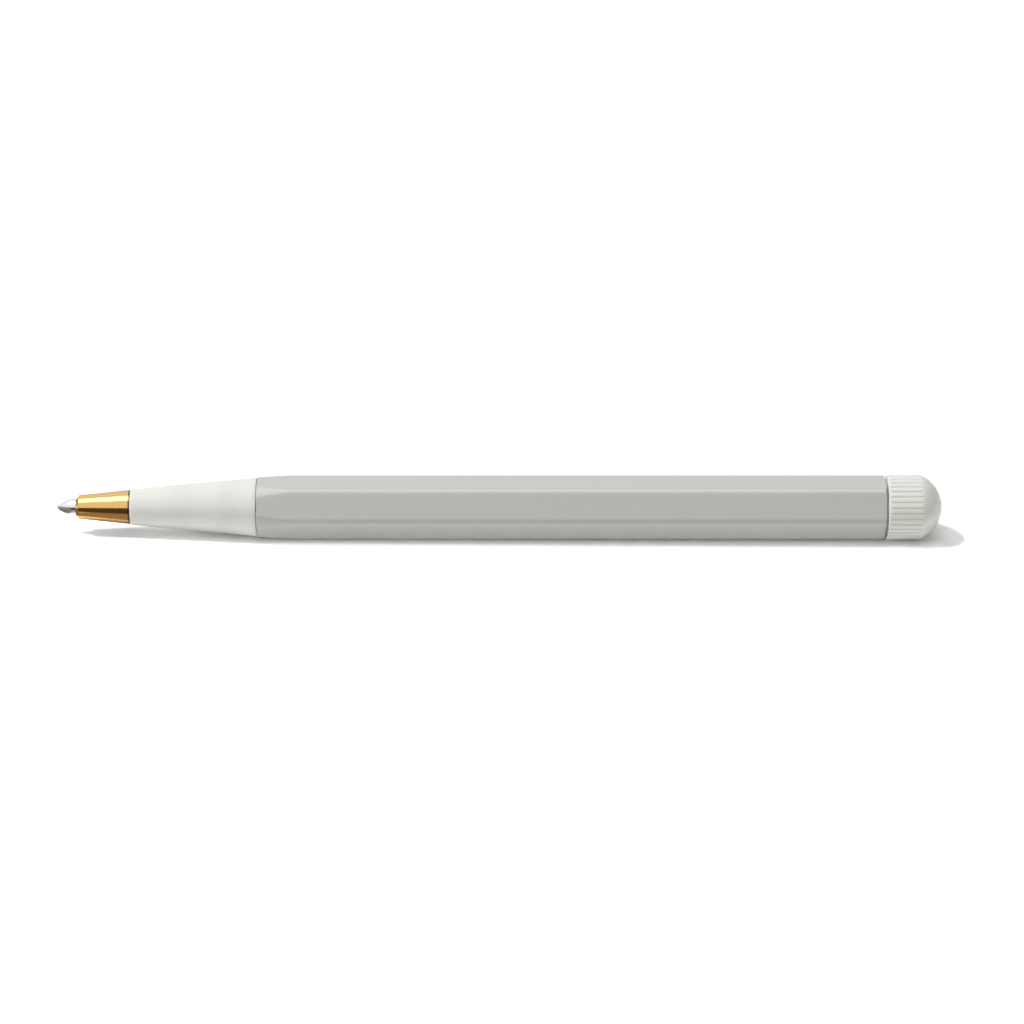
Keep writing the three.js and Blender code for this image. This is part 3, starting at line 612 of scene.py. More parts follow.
# %% Barrel
TURNED_RADIUS = 4.8
TURNED_LENGTH = 4.8
TURNED_STEPS = 48
LINER_SEAT = 4.03
LONG_BORE = 3.75
PROUD = 0.3
CHAMFER = 0.4
EASED = 0.03
liner_front, liner_rear = span("barrel_insert")
turned_rear = BARREL_FRONT + TURNED_LENGTH
taper = []
for step in range(4, TURNED_STEPS + 1):
    share = step / TURNED_STEPS
    taper_radius = TURNED_RADIUS + (CORNER_RADIUS - TURNED_RADIUS) * share
    taper.append((BARREL_FRONT + TURNED_LENGTH * share, taper_radius))
chamfer = []
for share in (0.0, 0.2, 0.4, 0.6, 0.75, 0.88):
    chamfer.append((BARREL_REAR - CHAMFER + CHAMFER * share, CORNER_RADIUS + 0.2 - CHAMFER * share))
barrel_section = [(BARREL_FRONT, LINER_SEAT, EASED), (BARREL_FRONT, TURNED_RADIUS, 0.13)] + taper
barrel_section += [(turned_rear + 0.3, CORNER_RADIUS + 0.1), (turned_rear + 0.8, CORNER_RADIUS + PROUD)]
barrel_section += [(BARREL_REAR - 1.0, CORNER_RADIUS + PROUD), (BARREL_REAR - 0.6, CORNER_RADIUS + PROUD)]
barrel_section += chamfer + [(BARREL_REAR, CORNER_RADIUS - 0.2, EASED), (BARREL_REAR, LONG_BORE, EASED)]
barrel_section += [(liner_rear + 0.1, LONG_BORE), (liner_rear + 0.1, LINER_SEAT)]
barrel = turned("barrel_shell", rounded(barrel_section), columns=288)
grow(barrel, mill_tree, "grey_plastic")
fit(barrel, "barrel_body", "grey_plastic", "barrel")

# %% [markdown]
# ## The grip cone
#
# The cone is a plain taper, but two edges matter. In front it steps down to the brass over a narrow
# bevel, and at the back a tiny rounding draws the thin seam against the barrel. Inside there is a
# tapered bore for the nose's spigot and a wider seat for the threaded bush.

# %% Grip cone
CONE_FRONT, CONE_REAR = span("grip_cone")
CONE_RADIUS = 2.89
NOSE_REAR_RADIUS = reach("nose_tip")
SPIGOT_RADIUS = 2.31
SPIGOT_BORE = SPIGOT_RADIUS + 0.03
BUSH_BORE = 3.12
BUSH_SEAT_RADIUS = 3.78
bush_front, bush_rear = span("thread_bush")
bush_seat = bush_front - 0.1
spigot_rear = span("nose_tip")[1]
cone_face = CONE_FRONT + 0.1
bevel_rear = CONE_FRONT + 0.32
cone_rim = CONE_REAR + 0.05
cone_corners = [
    (cone_face, SPIGOT_BORE, 0.03),
    (cone_face, NOSE_REAR_RADIUS, 0.04),
    (bevel_rear, CONE_RADIUS, 0.12),
    (cone_rim, reach("grip_cone"), 0.05),
    (cone_rim, BUSH_SEAT_RADIUS),
    (bush_seat, BUSH_SEAT_RADIUS),
    (bush_seat, BUSH_BORE),
    (spigot_rear + 4.4, BUSH_BORE),
    (spigot_rear + 1.2, SPIGOT_BORE),
]
cone = turned("cone_shell", rounded(cone_corners), columns=192)
fit(cone, "grip", "off_white_plastic", "grip_cone")

# %% [markdown]
# ## The brass nose and the refill's point
#
# The nose is turned from brass bar: a slim cone with a bevelled mouth that the point comes out of, and a
# spigot behind that is pressed into the grip cone. The point is a slim cone of polished steel whose sides
# bow out a little, closed in over a tiny ball. Both are sections on the lathe again. The nose, the point
# and the ball are kept out of scattered light, because the brass would tint the shadow gold.

# %% Nose
NOSE_FRONT = span("nose_tip")[0]
NOSE_REAR = CONE_FRONT
NOSE_BORE = 1.38
MOUTH_RADIUS = 1.45
MOUTH_BEVEL = 0.45
MOUTH_REAR_RADIUS = 1.92
SPRING_BORE = 1.95
SPRING_SEAT = NOSE_FRONT + 5.51
nose_corners = [
    (NOSE_FRONT, NOSE_BORE, 0.02),
    (NOSE_FRONT, MOUTH_RADIUS, 0.03),
    (NOSE_FRONT + MOUTH_BEVEL, MOUTH_REAR_RADIUS, 0.1),
    (NOSE_REAR, NOSE_REAR_RADIUS, 0.03),
    (NOSE_REAR, SPIGOT_RADIUS),
    (spigot_rear, SPIGOT_RADIUS, 0.08),
    (spigot_rear, SPRING_BORE),
    (SPRING_SEAT, SPRING_BORE),
    (SPRING_SEAT, NOSE_BORE),
]
nose = turned("nose_cone", rounded(nose_corners), columns=192)
fit(nose, "grip", "nose_brass", "nose_tip")

# %% Point and ball
BALL_RADIUS = reach("writing_ball")
SOCKET_RADIUS = BALL_RADIUS + 0.03
CHANNEL_RADIUS = 0.25
POINT_RADIUS = reach("point_cone")
POINT_SHOULDER = 2.3
POINT_BOW = 0.07
STUB_FRONT = 4.6
STUB_RADIUS = 0.95
SOCKET_STEPS = 12
BOW_STEPS = 32
lip_front, stub_rear = span("point_cone")
lip_angle = math.acos((BALL_RADIUS - lip_front) / SOCKET_RADIUS)
channel_angle = math.asin(CHANNEL_RADIUS / SOCKET_RADIUS)
socket = []
for step in range(SOCKET_STEPS + 1):
    turn = channel_angle + (math.pi - lip_angle - channel_angle) * step / SOCKET_STEPS
    socket.append((BALL_RADIUS + SOCKET_RADIUS * math.cos(turn), SOCKET_RADIUS * math.sin(turn)))
lip_radius = socket[-1][1] + 0.03
length = POINT_SHOULDER - lip_front
rise = POINT_RADIUS - lip_radius
chord = math.hypot(length, rise)
point_section = []
for step in range(BOW_STEPS + 1):
    share = step / BOW_STEPS
    lift = 4 * POINT_BOW * share * (1 - share) / chord
    bow_radius = lip_radius + rise * share + lift * length
    point_section.append((lip_front + length * share - lift * rise, bow_radius))
point_section += [(STUB_FRONT, POINT_RADIUS, 0.05), (STUB_FRONT, STUB_RADIUS)]
point_section += [(stub_rear, STUB_RADIUS, 0.05), (stub_rear, CHANNEL_RADIUS)]
point_section += socket
point = turned("point_shell", rounded(point_section), columns=128)
fit(point, "refill_carriage", "point_steel", "point_cone")

ball_section = [(0.0, 0.0)]
for step in range(1, BOW_STEPS):
    turn = math.pi * step / BOW_STEPS
    ball_section.append((BALL_RADIUS - BALL_RADIUS * math.cos(turn), BALL_RADIUS * math.sin(turn)))
ball_section.append((2 * BALL_RADIUS, 0.0))
ball = turned("ball", ball_section, columns=64)
fit(ball, "rolling_ball", "ball_steel", "writing_ball")
for piece in (nose, point, ball):
    piece.visible_diffuse = False

# %% [markdown]
# ## The knob
#
# The knob is moulded with 36 straight grooves for the fingers. They start behind a plain rim and run out
# where the dome falls below their floor. Thirty-six boolean cuts would do it, but a single rule is
# cleaner: a tree measures how far each point lies from the nearest groove's middle and lowers it.

# %% Tree: cut the grooves
KNOB_FRONT, PEN_LENGTH = span("knob")
KNOB_RADIUS = reach("knob")
RIM_RISE = 0.02
RIM_RADIUS = KNOB_RADIUS - RIM_RISE
RIM_REAR = KNOB_FRONT + 0.36
NO_END = 200.0
groove_tree, given = geometry_tree("cut_grooves", {
    "Grooves": 36,
    "Width": 0.42,
    "Floor Width": 0.16,
    "Depth": 0.15,
    "Crest Radius": KNOB_RADIUS,
    "Start": RIM_REAR,
    "End": NO_END,
    "Run Out": 0.12,
    "Turn": 0.0,
})
groove = partial(sums, groove_tree)
station, angle, radius = polar(groove_tree)
half_pitch = groove("DIVIDE", math.pi, given["Grooves"])
below = groove("MULTIPLY", half_pitch, -1.0)
shifted = groove("SUBTRACT", groove("ADD", angle, given["Turn"]), half_pitch)
off_middle = groove("ABSOLUTE", groove("WRAP", shifted, half_pitch, below))
distance = groove("MULTIPLY", off_middle, given["Crest Radius"])
half_floor = groove("DIVIDE", given["Floor Width"], 2.0)
half_width = groove("DIVIDE", given["Width"], 2.0)
wall = remap(groove_tree, distance, half_floor, half_width, 1.0, 0.0, smooth=True)
begun = groove("ADD", given["Start"], given["Run Out"])
before_end = groove("SUBTRACT", given["End"], given["Run Out"])
starts = remap(groove_tree, station, given["Start"], begun, 0.0, 1.0, smooth=True)
ends = remap(groove_tree, station, before_end, given["End"], 1.0, 0.0, smooth=True)
cut = groove("MULTIPLY", groove("MULTIPLY", wall, starts), ends)
deep = groove("MULTIPLY", cut, given["Depth"])
limit = groove("SUBTRACT", given["Crest Radius"], deep)
lowered = groove("MINIMUM", radius, limit)
end_tree(groove_tree, given, given["Geometry"], unpolar(groove_tree, station, angle, lowered))

# %% Knob and seam washer
DOME_RISE = 3.57
DOME_STEPS = 40
WALL_STEPS = 12
RIM_STEPS = 6
KNOB_BORE = 3.45
GROOVE_TURN = math.radians(2.4)
DOME_RADIUS = (KNOB_RADIUS ** 2 + DOME_RISE ** 2) / (2 * DOME_RISE)
dome_centre = PEN_LENGTH - DOME_RADIUS
crease = PEN_LENGTH - DOME_RISE
crease_angle = math.asin(KNOB_RADIUS / DOME_RADIUS)
insert_front, insert_rear = span("knob_insert")
knob_section = [(KNOB_FRONT, KNOB_BORE, 0.04), (KNOB_FRONT, RIM_RADIUS, 0.05)]
knob_section.append((RIM_REAR - 0.01, RIM_RADIUS))
for step in range(1, RIM_STEPS + 1):
    knob_section.append((RIM_REAR + 0.02 * step, RIM_RADIUS + RIM_RISE * step / RIM_STEPS))
for step in range(WALL_STEPS + 1):
    knob_section.append((RIM_REAR + 0.3 + (crease - RIM_REAR - 0.4) * step / WALL_STEPS, KNOB_RADIUS))
for step in range(DOME_STEPS):
    turn = crease_angle * (1 - step / DOME_STEPS)
    knob_section.append((dome_centre + DOME_RADIUS * math.cos(turn), DOME_RADIUS * math.sin(turn)))
knob_section += [(PEN_LENGTH, 0.0), (insert_rear + 0.2, 0.0), (insert_rear + 0.2, KNOB_BORE)]
knob = turned("knob_shell", rounded(knob_section), columns=720)
grow(knob, groove_tree, "off_white_plastic", turn=GROOVE_TURN)
fit(knob, "twist_knob", "off_white_plastic", "knob")

washer_front, washer_rear = span("seam_washer")
washer_radius = reach("seam_washer")
SHAFT_HOLE = 2.08
washer_section = [(washer_front, SHAFT_HOLE), (washer_front, washer_radius, EASED)]
washer_section += [(washer_rear, washer_radius, EASED), (washer_rear, SHAFT_HOLE)]
washer = turned("seam_ring", rounded(washer_section), columns=192)
fit(washer, "twist_knob", "washer_plastic", "seam_washer")

# %% [markdown]
# ## The screw thread
#
# The grip screws into the barrel with a fine thread of 0.75 mm pitch. It shows only when the pen is
# opened for a new refill. A thread is the classic rule: a point's depth depends on its station minus its
# share of a turn. The same tree cuts the male thread and, a hair wider, the female one. The bush is brass
# too, so it is kept out of scattered light as the nose is.

# %% Tree: roll the thread
head_rear = bush_front + 5.2
thread_tree, given = geometry_tree("roll_thread", {
    "Pitch": 0.75,
    "Depth": 0.22,
    "Least Radius": 3.3,
    "Most Radius": 3.6,
    "Front": head_rear,
    "Rear": bush_rear,
    "Run Out": 0.5,
})
roll = partial(sums, thread_tree)
station, angle, radius = polar(thread_tree)
pitches = roll("DIVIDE", station, given["Pitch"])
turns = roll("SUBTRACT", pitches, roll("DIVIDE", angle, 2 * math.pi))
wave = roll("MULTIPLY_ADD", roll("FRACT", turns), 2.0, -1.0)
swing = roll("ABSOLUTE", wave)
valley = remap(thread_tree, swing, 0.2, 0.8, 0.0, 1.0)
front_done = roll("ADD", given["Front"], given["Run Out"])
rear_near = roll("SUBTRACT", given["Rear"], given["Run Out"])
run_in = remap(thread_tree, station, given["Front"], front_done, 0.0, 1.0, smooth=True)
run_out = remap(thread_tree, station, rear_near, given["Rear"], 1.0, 0.0, smooth=True)
above = roll("GREATER_THAN", radius, given["Least Radius"])
inside = roll("MULTIPLY", above, roll("LESS_THAN", radius, given["Most Radius"]))
mask = roll("MULTIPLY", roll("MULTIPLY", run_in, run_out), inside)
deep = roll("MULTIPLY", roll("MULTIPLY", valley, mask), given["Depth"])
cut_radius = roll("SUBTRACT", radius, deep)
end_tree(thread_tree, given, given["Geometry"], unpolar(thread_tree, station, angle, cut_radius))

# %% Threaded bush and its liner
HEAD_RADIUS = reach("thread_bush")
THREAD_RADIUS = 3.5
THREAD_STEP = 0.05
LEAD_IN = 0.1
thread_rear = bush_rear - LEAD_IN
bush_section = [(bush_front, BUSH_BORE), (bush_front, HEAD_RADIUS), (head_rear, HEAD_RADIUS)]
for step in range(round((bush_rear - head_rear - LEAD_IN) / THREAD_STEP)):
    bush_section.append((head_rear + THREAD_STEP * step, THREAD_RADIUS))
bush_section += [(thread_rear, THREAD_RADIUS), (bush_rear, THREAD_RADIUS - LEAD_IN)]
bush_section.append((bush_rear, BUSH_BORE))
bush = turned("threaded_bush", bush_section, columns=96)
grow(bush, thread_tree, "bush_brass")
fit(bush, "grip", "bush_brass", "thread_bush")
bush.visible_diffuse = False

LINER_BORE = 3.55
liner_radius = reach("barrel_insert")
liner_section = [(liner_front, LINER_BORE + LEAD_IN), (liner_front, liner_radius)]
liner_section.append((liner_rear, liner_radius))
for step in range(round((liner_rear - liner_front - LEAD_IN) / THREAD_STEP)):
    liner_section.append((liner_rear - THREAD_STEP * step, LINER_BORE))
liner = turned("threaded_liner", liner_section, columns=96)
bore_limits = {"least_radius": LINER_BORE - 0.01, "most_radius": LINER_BORE + 0.01}
grow(liner, thread_tree, "bush_brass", front=liner_front, rear=liner_rear - LEAD_IN, **bore_limits)
fit(liner, "barrel_body", "bush_brass", "barrel_insert")

# %% [markdown]
# ## The return spring
#
# A coil spring follows a path, so it is a curve with a round profile swept along it. The tree bends a
# straight line into the coil by formula. Its first and last turns lie close together, as on a real
# spring, so that it stands square on its seats.

# %% Tree: wind the spring
WIRE_RADIUS = 0.15
WIRE_SIDES = 12
CLOSE_PITCH = 2.15
spring_tree, given = geometry_tree("wind_spring", {
    "Front": span("return_spring")[0] + WIRE_RADIUS,
    "Rear": span("return_spring")[1] - WIRE_RADIUS,
    "Coil Radius": 1.72,
    "Wire Radius": WIRE_RADIUS,
    "Turns": 11.5,
    "Closed Turns": 1.25,
    "Steps": 480,
})
wind = partial(sums, spring_tree)
line = spring_tree.nodes.new("GeometryNodeCurvePrimitiveLine")
sampled = spring_tree.nodes.new("GeometryNodeResampleCurve")
put(spring_tree, line.outputs[0], sampled.inputs["Curve"])
put(spring_tree, given["Steps"], sampled.inputs["Count"])
share = spring_tree.nodes.new("GeometryNodeSplineParameter").outputs["Factor"]
height = wind("SUBTRACT", given["Rear"], given["Front"])
closed_share = wind("DIVIDE", given["Closed Turns"], given["Turns"])
close_pitch = wind("MULTIPLY", given["Wire Radius"], CLOSE_PITCH)
close_rise = wind("DIVIDE", wind("MULTIPLY", close_pitch, given["Turns"]), height)
open_share = wind("SUBTRACT", 1.0, closed_share)
ramp = remap(spring_tree, share, closed_share, open_share, 0.0, 1.0)
steady = wind("MULTIPLY", share, close_rise)
climb = wind("MULTIPLY_ADD", ramp, wind("SUBTRACT", 1.0, close_rise), steady)
station = wind("MULTIPLY_ADD", climb, height, given["Front"])
angle = wind("MULTIPLY", wind("MULTIPLY", share, given["Turns"]), 2 * math.pi)
bent = spring_tree.nodes.new("GeometryNodeSetPosition")
put(spring_tree, sampled.outputs[0], bent.inputs["Geometry"])
put(spring_tree, unpolar(spring_tree, station, angle, given["Coil Radius"]), bent.inputs["Position"])
wire = spring_tree.nodes.new("GeometryNodeCurvePrimitiveCircle")
wire.inputs["Resolution"].default_value = WIRE_SIDES
put(spring_tree, wind("MULTIPLY", given["Wire Radius"], MM), wire.inputs["Radius"])
swept = spring_tree.nodes.new("GeometryNodeCurveToMesh")
put(spring_tree, bent.outputs[0], swept.inputs["Curve"])
put(spring_tree, wire.outputs[0], swept.inputs["Profile Curve"])
swept.inputs["Fill Caps"].default_value = True
close_tree(spring_tree, given, swept.outputs[0])

# %% Return spring
spring = bpy.data.objects.new("coil_spring", bpy.data.meshes.new("coil_spring"))
bpy.context.scene.collection.objects.link(spring)
grow(spring, spring_tree, "spring_steel")
fit(spring, "spring", "spring_steel", "return_spring")

# %% [markdown]
# ## The pieces inside
#
# The refill and the twist mechanism never show in a photograph of the closed pen, but they are real
# pieces and get real finishes. The plain turned ones are made again here with fine rings and softened
# edges. Those with slots or cross holes keep their CAD shape, which is right already, and take only the
# new material.

# %% Pieces inside
def inner_piece(name, body, slot, node, shape):
    """Turns a piece from a section that is written from its front and rear stations."""
    fit(turned(name, rounded(shape(*span(node))), columns=64), body, slot, node)


inner_piece("nozzle", "refill_carriage", "nozzle_plastic", "refill_nozzle", lambda front, rear: [
    (front, 0.98), (front, 1.28), (SPRING_SEAT + 1.0, 1.28), (SPRING_SEAT + 1.0, 1.4), (rear - 7.1, 1.4),
    (rear - 7.1, 2.25, 0.1), (rear - 4.1, 2.95, 0.05), (rear - 4.1, 2.67), (rear, 2.67, 0.1), (rear, 0.6),
    (front + 2.4, 0.6), (front + 2.4, 0.98)])
inner_piece("ink_tube", "refill_carriage", "tube_plastic", "refill_tube", lambda front, rear: [
    (front, 2.7), (front, 2.95, 0.05), (rear, 2.95, 0.05), (rear, 2.7)])
inner_piece("ink_fill", "refill_carriage", "ink", "ink_column", lambda front, rear: [
    (front, 0.0), (front, 2.6, 0.2), (rear, 2.6, 0.2), (rear, 0.0)])
inner_piece("cup", "refill_carriage", "mechanism_plastic", "refill_cup", lambda front, rear: [
    (front, 3.0, 0.05), (front, 3.6, 0.1), (rear, 3.6, 0.1), (rear, 2.03, 0.05), (rear - 1.9, 2.03),
    (rear - 1.9, 0.0), (front + 3.1, 0.0), (front + 3.1, 3.0)])
inner_piece("slip_washer", "barrel_body", "sleeve_plastic", "thrust_washer", lambda front, rear: [
    (front, 2.08), (front, 3.22, 0.05), (rear, 3.22, 0.05), (rear, 2.08)])
inner_piece("bearing_bush", "barrel_body", "bush_brass", "end_bush", lambda front, rear: [
    (front, 2.05, 0.03), (front, 3.72, 0.1), (rear, 3.72, 0.1), (rear, 2.37, 0.05), (front + 1.9, 2.37),
    (front + 1.9, 2.05, 0.03)])
inner_piece("shaft", "twist_knob", "shaft_aluminium", "drive_shaft", lambda front, rear: [
    (front, 0.0), (front, 2.57, 0.1), (front + 3.9, 2.57), (front + 3.9, 3.22, 0.05),
    (front + 4.8, 3.22, 0.05), (front + 4.8, 2.0), (front + 8.0, 2.0, 0.04), (front + 8.0, 1.57),
    (front + 8.8, 1.57), (front + 8.8, 2.0, 0.04), (rear, 2.0, 0.1), (rear, 0.0)])

RING_SECTION = 0.33
ring_middle = sum(span("friction_ring")) / 2
ring_radius = reach("friction_ring") - RING_SECTION
RING_STEPS = 16
ring_section = []
for step in range(RING_STEPS):
    turn = 2 * math.pi * step / RING_STEPS
    across_ring = RING_SECTION * math.cos(turn)
    ring_section.append((ring_middle + across_ring, ring_radius + RING_SECTION * math.sin(turn)))
fit(turned("rubber_ring", ring_section, columns=64), "twist_knob", "ring_rubber", "friction_ring")

# %% The knob's knurled liner
INSERT_HOLE = 2.03
INSERT_CHAMFER = 0.07
INSERT_STEPS = 49
insert_radius = reach("knob_insert")
edge_radius = insert_radius - INSERT_CHAMFER
insert_section = [(insert_front, INSERT_HOLE), (insert_front, edge_radius)]
insert_section.append((insert_front + INSERT_CHAMFER, insert_radius))
for step in range(INSERT_STEPS + 1):
    along = (insert_rear - insert_front - 0.4) * step / INSERT_STEPS
    insert_section.append((insert_front + 0.2 + along, insert_radius))
insert_section += [(insert_rear - INSERT_CHAMFER, insert_radius), (insert_rear, edge_radius)]
insert_section.append((insert_rear, INSERT_HOLE))
insert = turned("knurled_liner", insert_section, columns=576)
knurl = {"grooves": 48, "width": 0.3, "floor_width": 0.06, "depth": 0.12, "crest_radius": insert_radius}
knurl.update(start=insert_front + 0.5, end=insert_rear - 0.5, run_out=0.15)
grow(insert, groove_tree, "bush_brass", **knurl)
fit(insert, "twist_knob", "bush_brass", "knob_insert")

# %% CAD nodes that stay
slots = {part["node"]: part["material_slot"] for part in frame["record"]["subparts"]}
for name, node in frame["nodes"].items():
    if node.hide_render:
        continue
    node.data.materials.clear()
    node.data.materials.append(materials[slots[name]])
    print(f"{name}: the CAD shape, with a new material")

# %% [markdown]
# ## The studio
#
# The pen lies on a white sheet under one soft lamp, which hangs high above it and to the left. It lights
# the upper facets, leaves the facet facing us darker, and throws a narrow shadow. Light Path tells the
# sheet, the sky and the cards which kind of ray is looking at them, so that the white background and the
# reflections can be set without putting more light on the pen.
#
# The pen touches the sheet with its knob and with the cone's rear rim, and the knob is the wider of the
# two. The pen is kept level, so it is the sheet that slopes, by a quarter of a degree.

# %% Telling rays apart


def light_path_share(tree, names):
    """One where the ray is of any of the named kinds, otherwise zero."""
    path = tree.nodes.new("ShaderNodeLightPath")
    total = path.outputs[names[0]]
    for name in names[1:]:
        total = sums(tree, "MAXIMUM", total, path.outputs[name])
    return total


def seen_directly(tree, names):
    """One where the ray is of a named kind and nothing dull has scattered its light, otherwise zero."""
    share = light_path_share(tree, names)
    depth = tree.nodes["Light Path"].outputs["Diffuse Depth"]
    return sums(tree, "MULTIPLY", share, sums(tree, "LESS_THAN", depth, 0.5))


# %% Floor
REST_FRONT = place(CONE_REAR - 0.07), AXIS - reach("grip_cone") * MM
REST_REAR = place(RIM_REAR + 0.3), AXIS - KNOB_RADIUS * MM
FLOOR_SLOPE = (REST_FRONT[1] - REST_REAR[1]) / (REST_FRONT[0] - REST_REAR[0])
FLOOR_HALF = 4.0
print(f"the floor rises {math.degrees(-FLOOR_SLOPE):.2f} degrees towards the tip")


def floor_height(along):
    return REST_REAR[1] + FLOOR_SLOPE * (along - REST_REAR[0])


shape = bmesh.new()
for side_x, side_y in ((-1, -1), (1, -1), (1, 1), (-1, 1)):
    along = side_x * FLOOR_HALF
    shape.verts.new((along, side_y * FLOOR_HALF, floor_height(along)))
shape.faces.new(shape.verts)
floor = piece_from("floor", shape)

# %% [markdown]
# ## The paper
#
# The paper has two tones. The camera sees the first. It is over 1, so that the background comes out
# white, and it rises far from the pen, where less of the lamp's light arrives. Inside the shadow it is
# higher still and changes along the pen, which paints the shadow's shape: a thin grey start under the
# tip, a painted light strip in front of the barrel, a painted dark contact shadow at the knob and a
# lighter end beyond the dome. All other rays see the second tone, which is what the paper throws back at
# the pen. It is stronger under the barrel, which paints extra light onto the lower facet, where it would
# otherwise be too dark. Light that has been scattered twice is held back, because so bright a sheet
# would keep adding to it.

# %% Paper: places on the sheet
paper = bpy.data.materials.new("paper")
paper.use_nodes = True
tree = paper.node_tree
tree.nodes.remove(tree.nodes["Principled BSDF"])
maths = partial(sums, tree)
fade = partial(remap, tree, smooth=True)
SHADOW_MIDDLE = -1.0
where = axes(tree, tree.nodes.new("ShaderNodeTexCoord").outputs["Object"])
sideways = maths("DIVIDE", where["Y"], MM)
station = maths("DIVIDE", maths("SUBTRACT", where["X"], TIP), MM)
off_middle = maths("ABSOLUTE", maths("SUBTRACT", sideways, SHADOW_MIDDLE))

# %% Paper: the tone inside the shadow
# Painted shadow: these tones set how light or dark the real shadow looks at each station along the pen.
START_SEEN = 2.2
STRIP_SEEN = 3.25
CONTACT_SEEN = 1.75
END_SEEN = 2.4
STRIP_FROM = (8.5, 22.0)
CONTACT = 140.0
strip_begins = fade(station, *STRIP_FROM, START_SEEN, STRIP_SEEN)
strip_ends = fade(station, CONTACT - 4.0, CONTACT, 0.0, STRIP_SEEN - CONTACT_SEEN)
beyond = fade(station, CONTACT, CONTACT + 4.5, 0.0, END_SEEN - CONTACT_SEEN)
along_tone = maths("ADD", maths("SUBTRACT", strip_begins, strip_ends), beyond)

# Painted light at the shadow's outer edge in front of the pen, which sharpens that edge.
EDGE_GAIN = 1.45
near_edge = remap(tree, station, 12.0, 30.0, -1.5, -3.1)
edge = maths("SUBTRACT", near_edge, remap(tree, station, 40.0, 110.0, 0.0, 0.3))
edge_gain = fade(maths("SUBTRACT", edge, sideways), 0.0, 0.6, 1.0, EDGE_GAIN)

# Painted light beside the dome's contact, which lightens its shadow outward.
DOME_GAIN = 0.4
dome_rises = fade(station, CONTACT - 3.0, CONTACT, 0.0, DOME_GAIN)
dome_falls = fade(station, CONTACT + 0.5, CONTACT + 3.5, 1.0, 0.0)
outward = fade(sideways, -1.4, -3.2, 0.0, 1.0)
dome_gain = maths("MULTIPLY_ADD", maths("MULTIPLY", dome_rises, dome_falls), outward, 1.0)
shadow_tone = maths("MULTIPLY", along_tone, maths("MULTIPLY", edge_gain, dome_gain))

# %% Paper: the tone that the camera sees
FLOOR_SEEN = 1.15
FAR_SEEN = 2.5
TIP_REACH = 4.6
SHADOW_REACH = 6.8
SHADOW_FADE = 1.5
zone = fade(station, 20.0, CONE_REAR, TIP_REACH, SHADOW_REACH)
past_zone = maths("SUBTRACT", off_middle, zone)
plain_tone = fade(off_middle, 30.0, 90.0, FLOOR_SEEN, FAR_SEEN)
seen_tone = fade(past_zone, 0.0, SHADOW_FADE, shadow_tone, plain_tone)
on_camera = light_path_share(tree, ["Is Camera Ray"])

# %% Paper: the tone that it throws back
FLOOR_COLOUR = (1.08, 1.065, 1.048)
UNDER_GAIN = 3.2
UNDER_HALF = 4.5
TWICE_SHARE = 0.35
extra = fade(maths("ABSOLUTE", sideways), UNDER_HALF - 1.2, UNDER_HALF, UNDER_GAIN, 0.0)
begun = fade(station, CONE_REAR - 6.0, CONE_REAR + 2.0, 0.0, 1.0)
ended = fade(station, KNOB_FRONT, KNOB_FRONT + 4.0, 1.0, 0.0)
under = maths("MULTIPLY_ADD", extra, maths("MULTIPLY", begun, ended), 1.0)
twice = maths("GREATER_THAN", tree.nodes["Light Path"].outputs["Diffuse Depth"], 1.5)
bounce = brighten(tree, FLOOR_COLOUR, remap(tree, twice, 0.0, 1.0, under, TWICE_SHARE))

# %% Paper: both tones in one material
tone = tree.nodes.new("ShaderNodeMix")
tone.data_type = "RGBA"
put(tree, on_camera, tone.inputs["Factor"])
put(tree, bounce, tone.inputs["A"])
put(tree, seen_tone, tone.inputs["B"])
diffuse = tree.nodes.new("ShaderNodeBsdfDiffuse")
put(tree, tone.outputs["Result"], diffuse.inputs["Color"])
put(tree, diffuse.outputs[0], tree.nodes["Material Output"].inputs["Surface"])
tidy(tree)
floor.data.materials.append(paper)

# %% Sky
SKY_LIGHT = 0.3
world = bpy.data.worlds.new("sky")
bpy.context.scene.world = world
world.use_nodes = True
tree = world.node_tree
background = tree.nodes["Background"]
seen = seen_directly(tree, ["Is Camera Ray", "Is Glossy Ray", "Is Transmission Ray"])
put(tree, remap(tree, seen, 0.0, 1.0, SKY_LIGHT, 1.0), background.inputs["Strength"])
background.inputs["Color"].default_value = (1, 1, 1, 1)
tidy(tree)

# %% [markdown]
# ## The lamp and the cards
#
# Shiny metal shows its surroundings, so the surroundings are dressed too. The lamp itself stays out of
# reflections. A softbox stands in for it there, because the photographer's light looks bigger in the
# brass than its shadow says. Low grey and brown cards stand around the pen and lie beside it, and the
# brass and the steel answer with the dark and golden lines that make them look like metal. The cards
# glow only for direct reflections, so they throw no light, block none and are never seen themselves.

# %% Lamp and card makers


def lamp(name, location, target, size, power):
    data = bpy.data.lights.new(name, "AREA")
    data.shape = "RECTANGLE"
    data.size, data.size_y = size
    data.energy = power
    light = bpy.data.objects.new(name, data)
    light.location = location
    light.rotation_euler = (Vector(target) - Vector(location)).to_track_quat("-Z", "Y").to_euler()
    light.visible_camera = False
    bpy.context.scene.collection.objects.link(light)
    return light


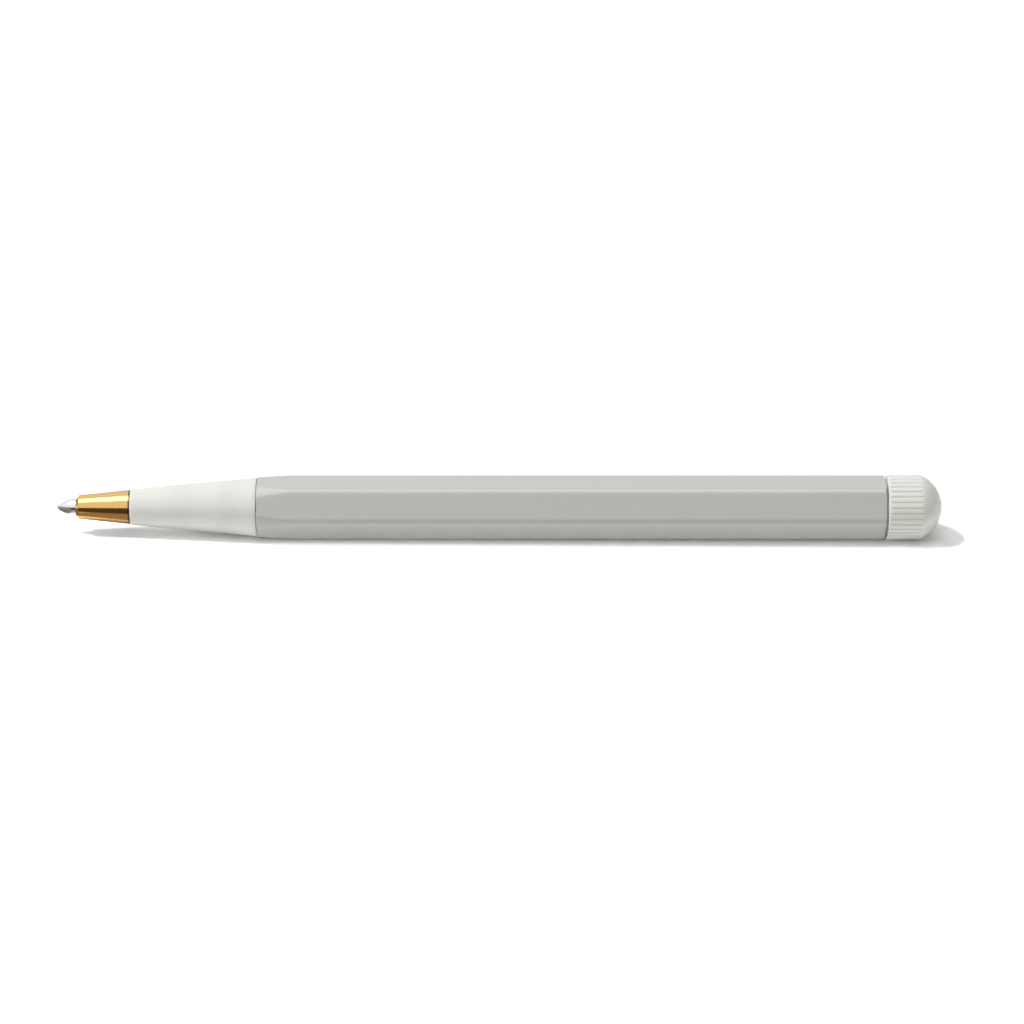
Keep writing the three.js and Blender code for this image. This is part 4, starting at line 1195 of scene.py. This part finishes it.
def card(name, corners, strength, colour):
    """A sheet that glows evenly and shows only in reflections."""
    shape = bmesh.new()
    shape.faces.new([shape.verts.new(corner) for corner in corners])
    board = piece_from(name, shape)
    cover = bpy.data.materials.new(name)
    cover.use_nodes = True
    tree = cover.node_tree
    glow = tree.nodes.new("ShaderNodeEmission")
    glow.inputs["Color"].default_value = (*colour, 1)
    shown = seen_directly(tree, ["Is Glossy Ray"])
    put(tree, sums(tree, "MULTIPLY", shown, strength), glow.inputs["Strength"])
    put(tree, glow.outputs[0], tree.nodes["Material Output"].inputs["Surface"])
    board.data.materials.append(cover)
    board.visible_camera = False
    board.visible_shadow = False
    board.visible_diffuse = False
    board.visible_transmission = False


def across(low_x, high_x, start, end):
    """The corners of a sheet between two lines, each a place sideways and a height above the floor."""
    corners = [(low_x, *start), (high_x, *start), (high_x, *end), (low_x, *end)]
    return [(along, sideways, floor_height(along) + height) for along, sideways, height in corners]


# %% Lamp and cards
overhead = lamp("overhead", (-0.92, 0.12, 1.5), (0, 0, 0), (0.76, 0.2), 27.5)
overhead.visible_glossy = False
WHITE = (1, 1, 1)
AMBER = (1, 0.65, 0.35)
BROWN = (1, 0.8, 0.65)
LYING = 0.0001
cards = {
    "softbox": (-0.75, 1.0, (-0.22, 0.9), (0.34, 0.9), 4.0, WHITE),
    "side_card": (-0.9, -0.13, (-0.12, 0.0), (-0.12, 0.05), 0.15, WHITE),
    "front_card": (-0.13, 0.9, (-0.12, 0.0), (-0.12, 0.054), 0.08, AMBER),
    "front_sheet": (-0.13, 0.9, (-0.12, LYING), (-0.016, LYING), 0.08, AMBER),
    "brown_sheet": (-0.0705, -0.055, (-0.016, LYING), (-0.0036, LYING), 0.36, BROWN),
    "tip_sheet": (-0.1, -0.0708, (-0.014, LYING), (0.003, LYING), 0.2, WHITE),
    "back_card": (-0.9, 0.9, (0.2, 0.0), (0.2, 0.04), 0.3, WHITE),
}
for name, (low_x, high_x, start, end, strength, colour) in cards.items():
    card(name, across(low_x, high_x, start, end), strength, colour)
LEFT_CARD = -0.35
foot = floor_height(LEFT_CARD)
left_corners = ((-0.3, foot), (0.3, foot), (0.3, foot + 0.12), (-0.3, foot + 0.12))
card("left_card", [(LEFT_CARD, sideways, height) for sideways, height in left_corners], 0.42, WHITE)
print(f"one lamp and {len(cards) + 1} cards")
bpy.context.scene.view_settings.view_transform = "Standard"
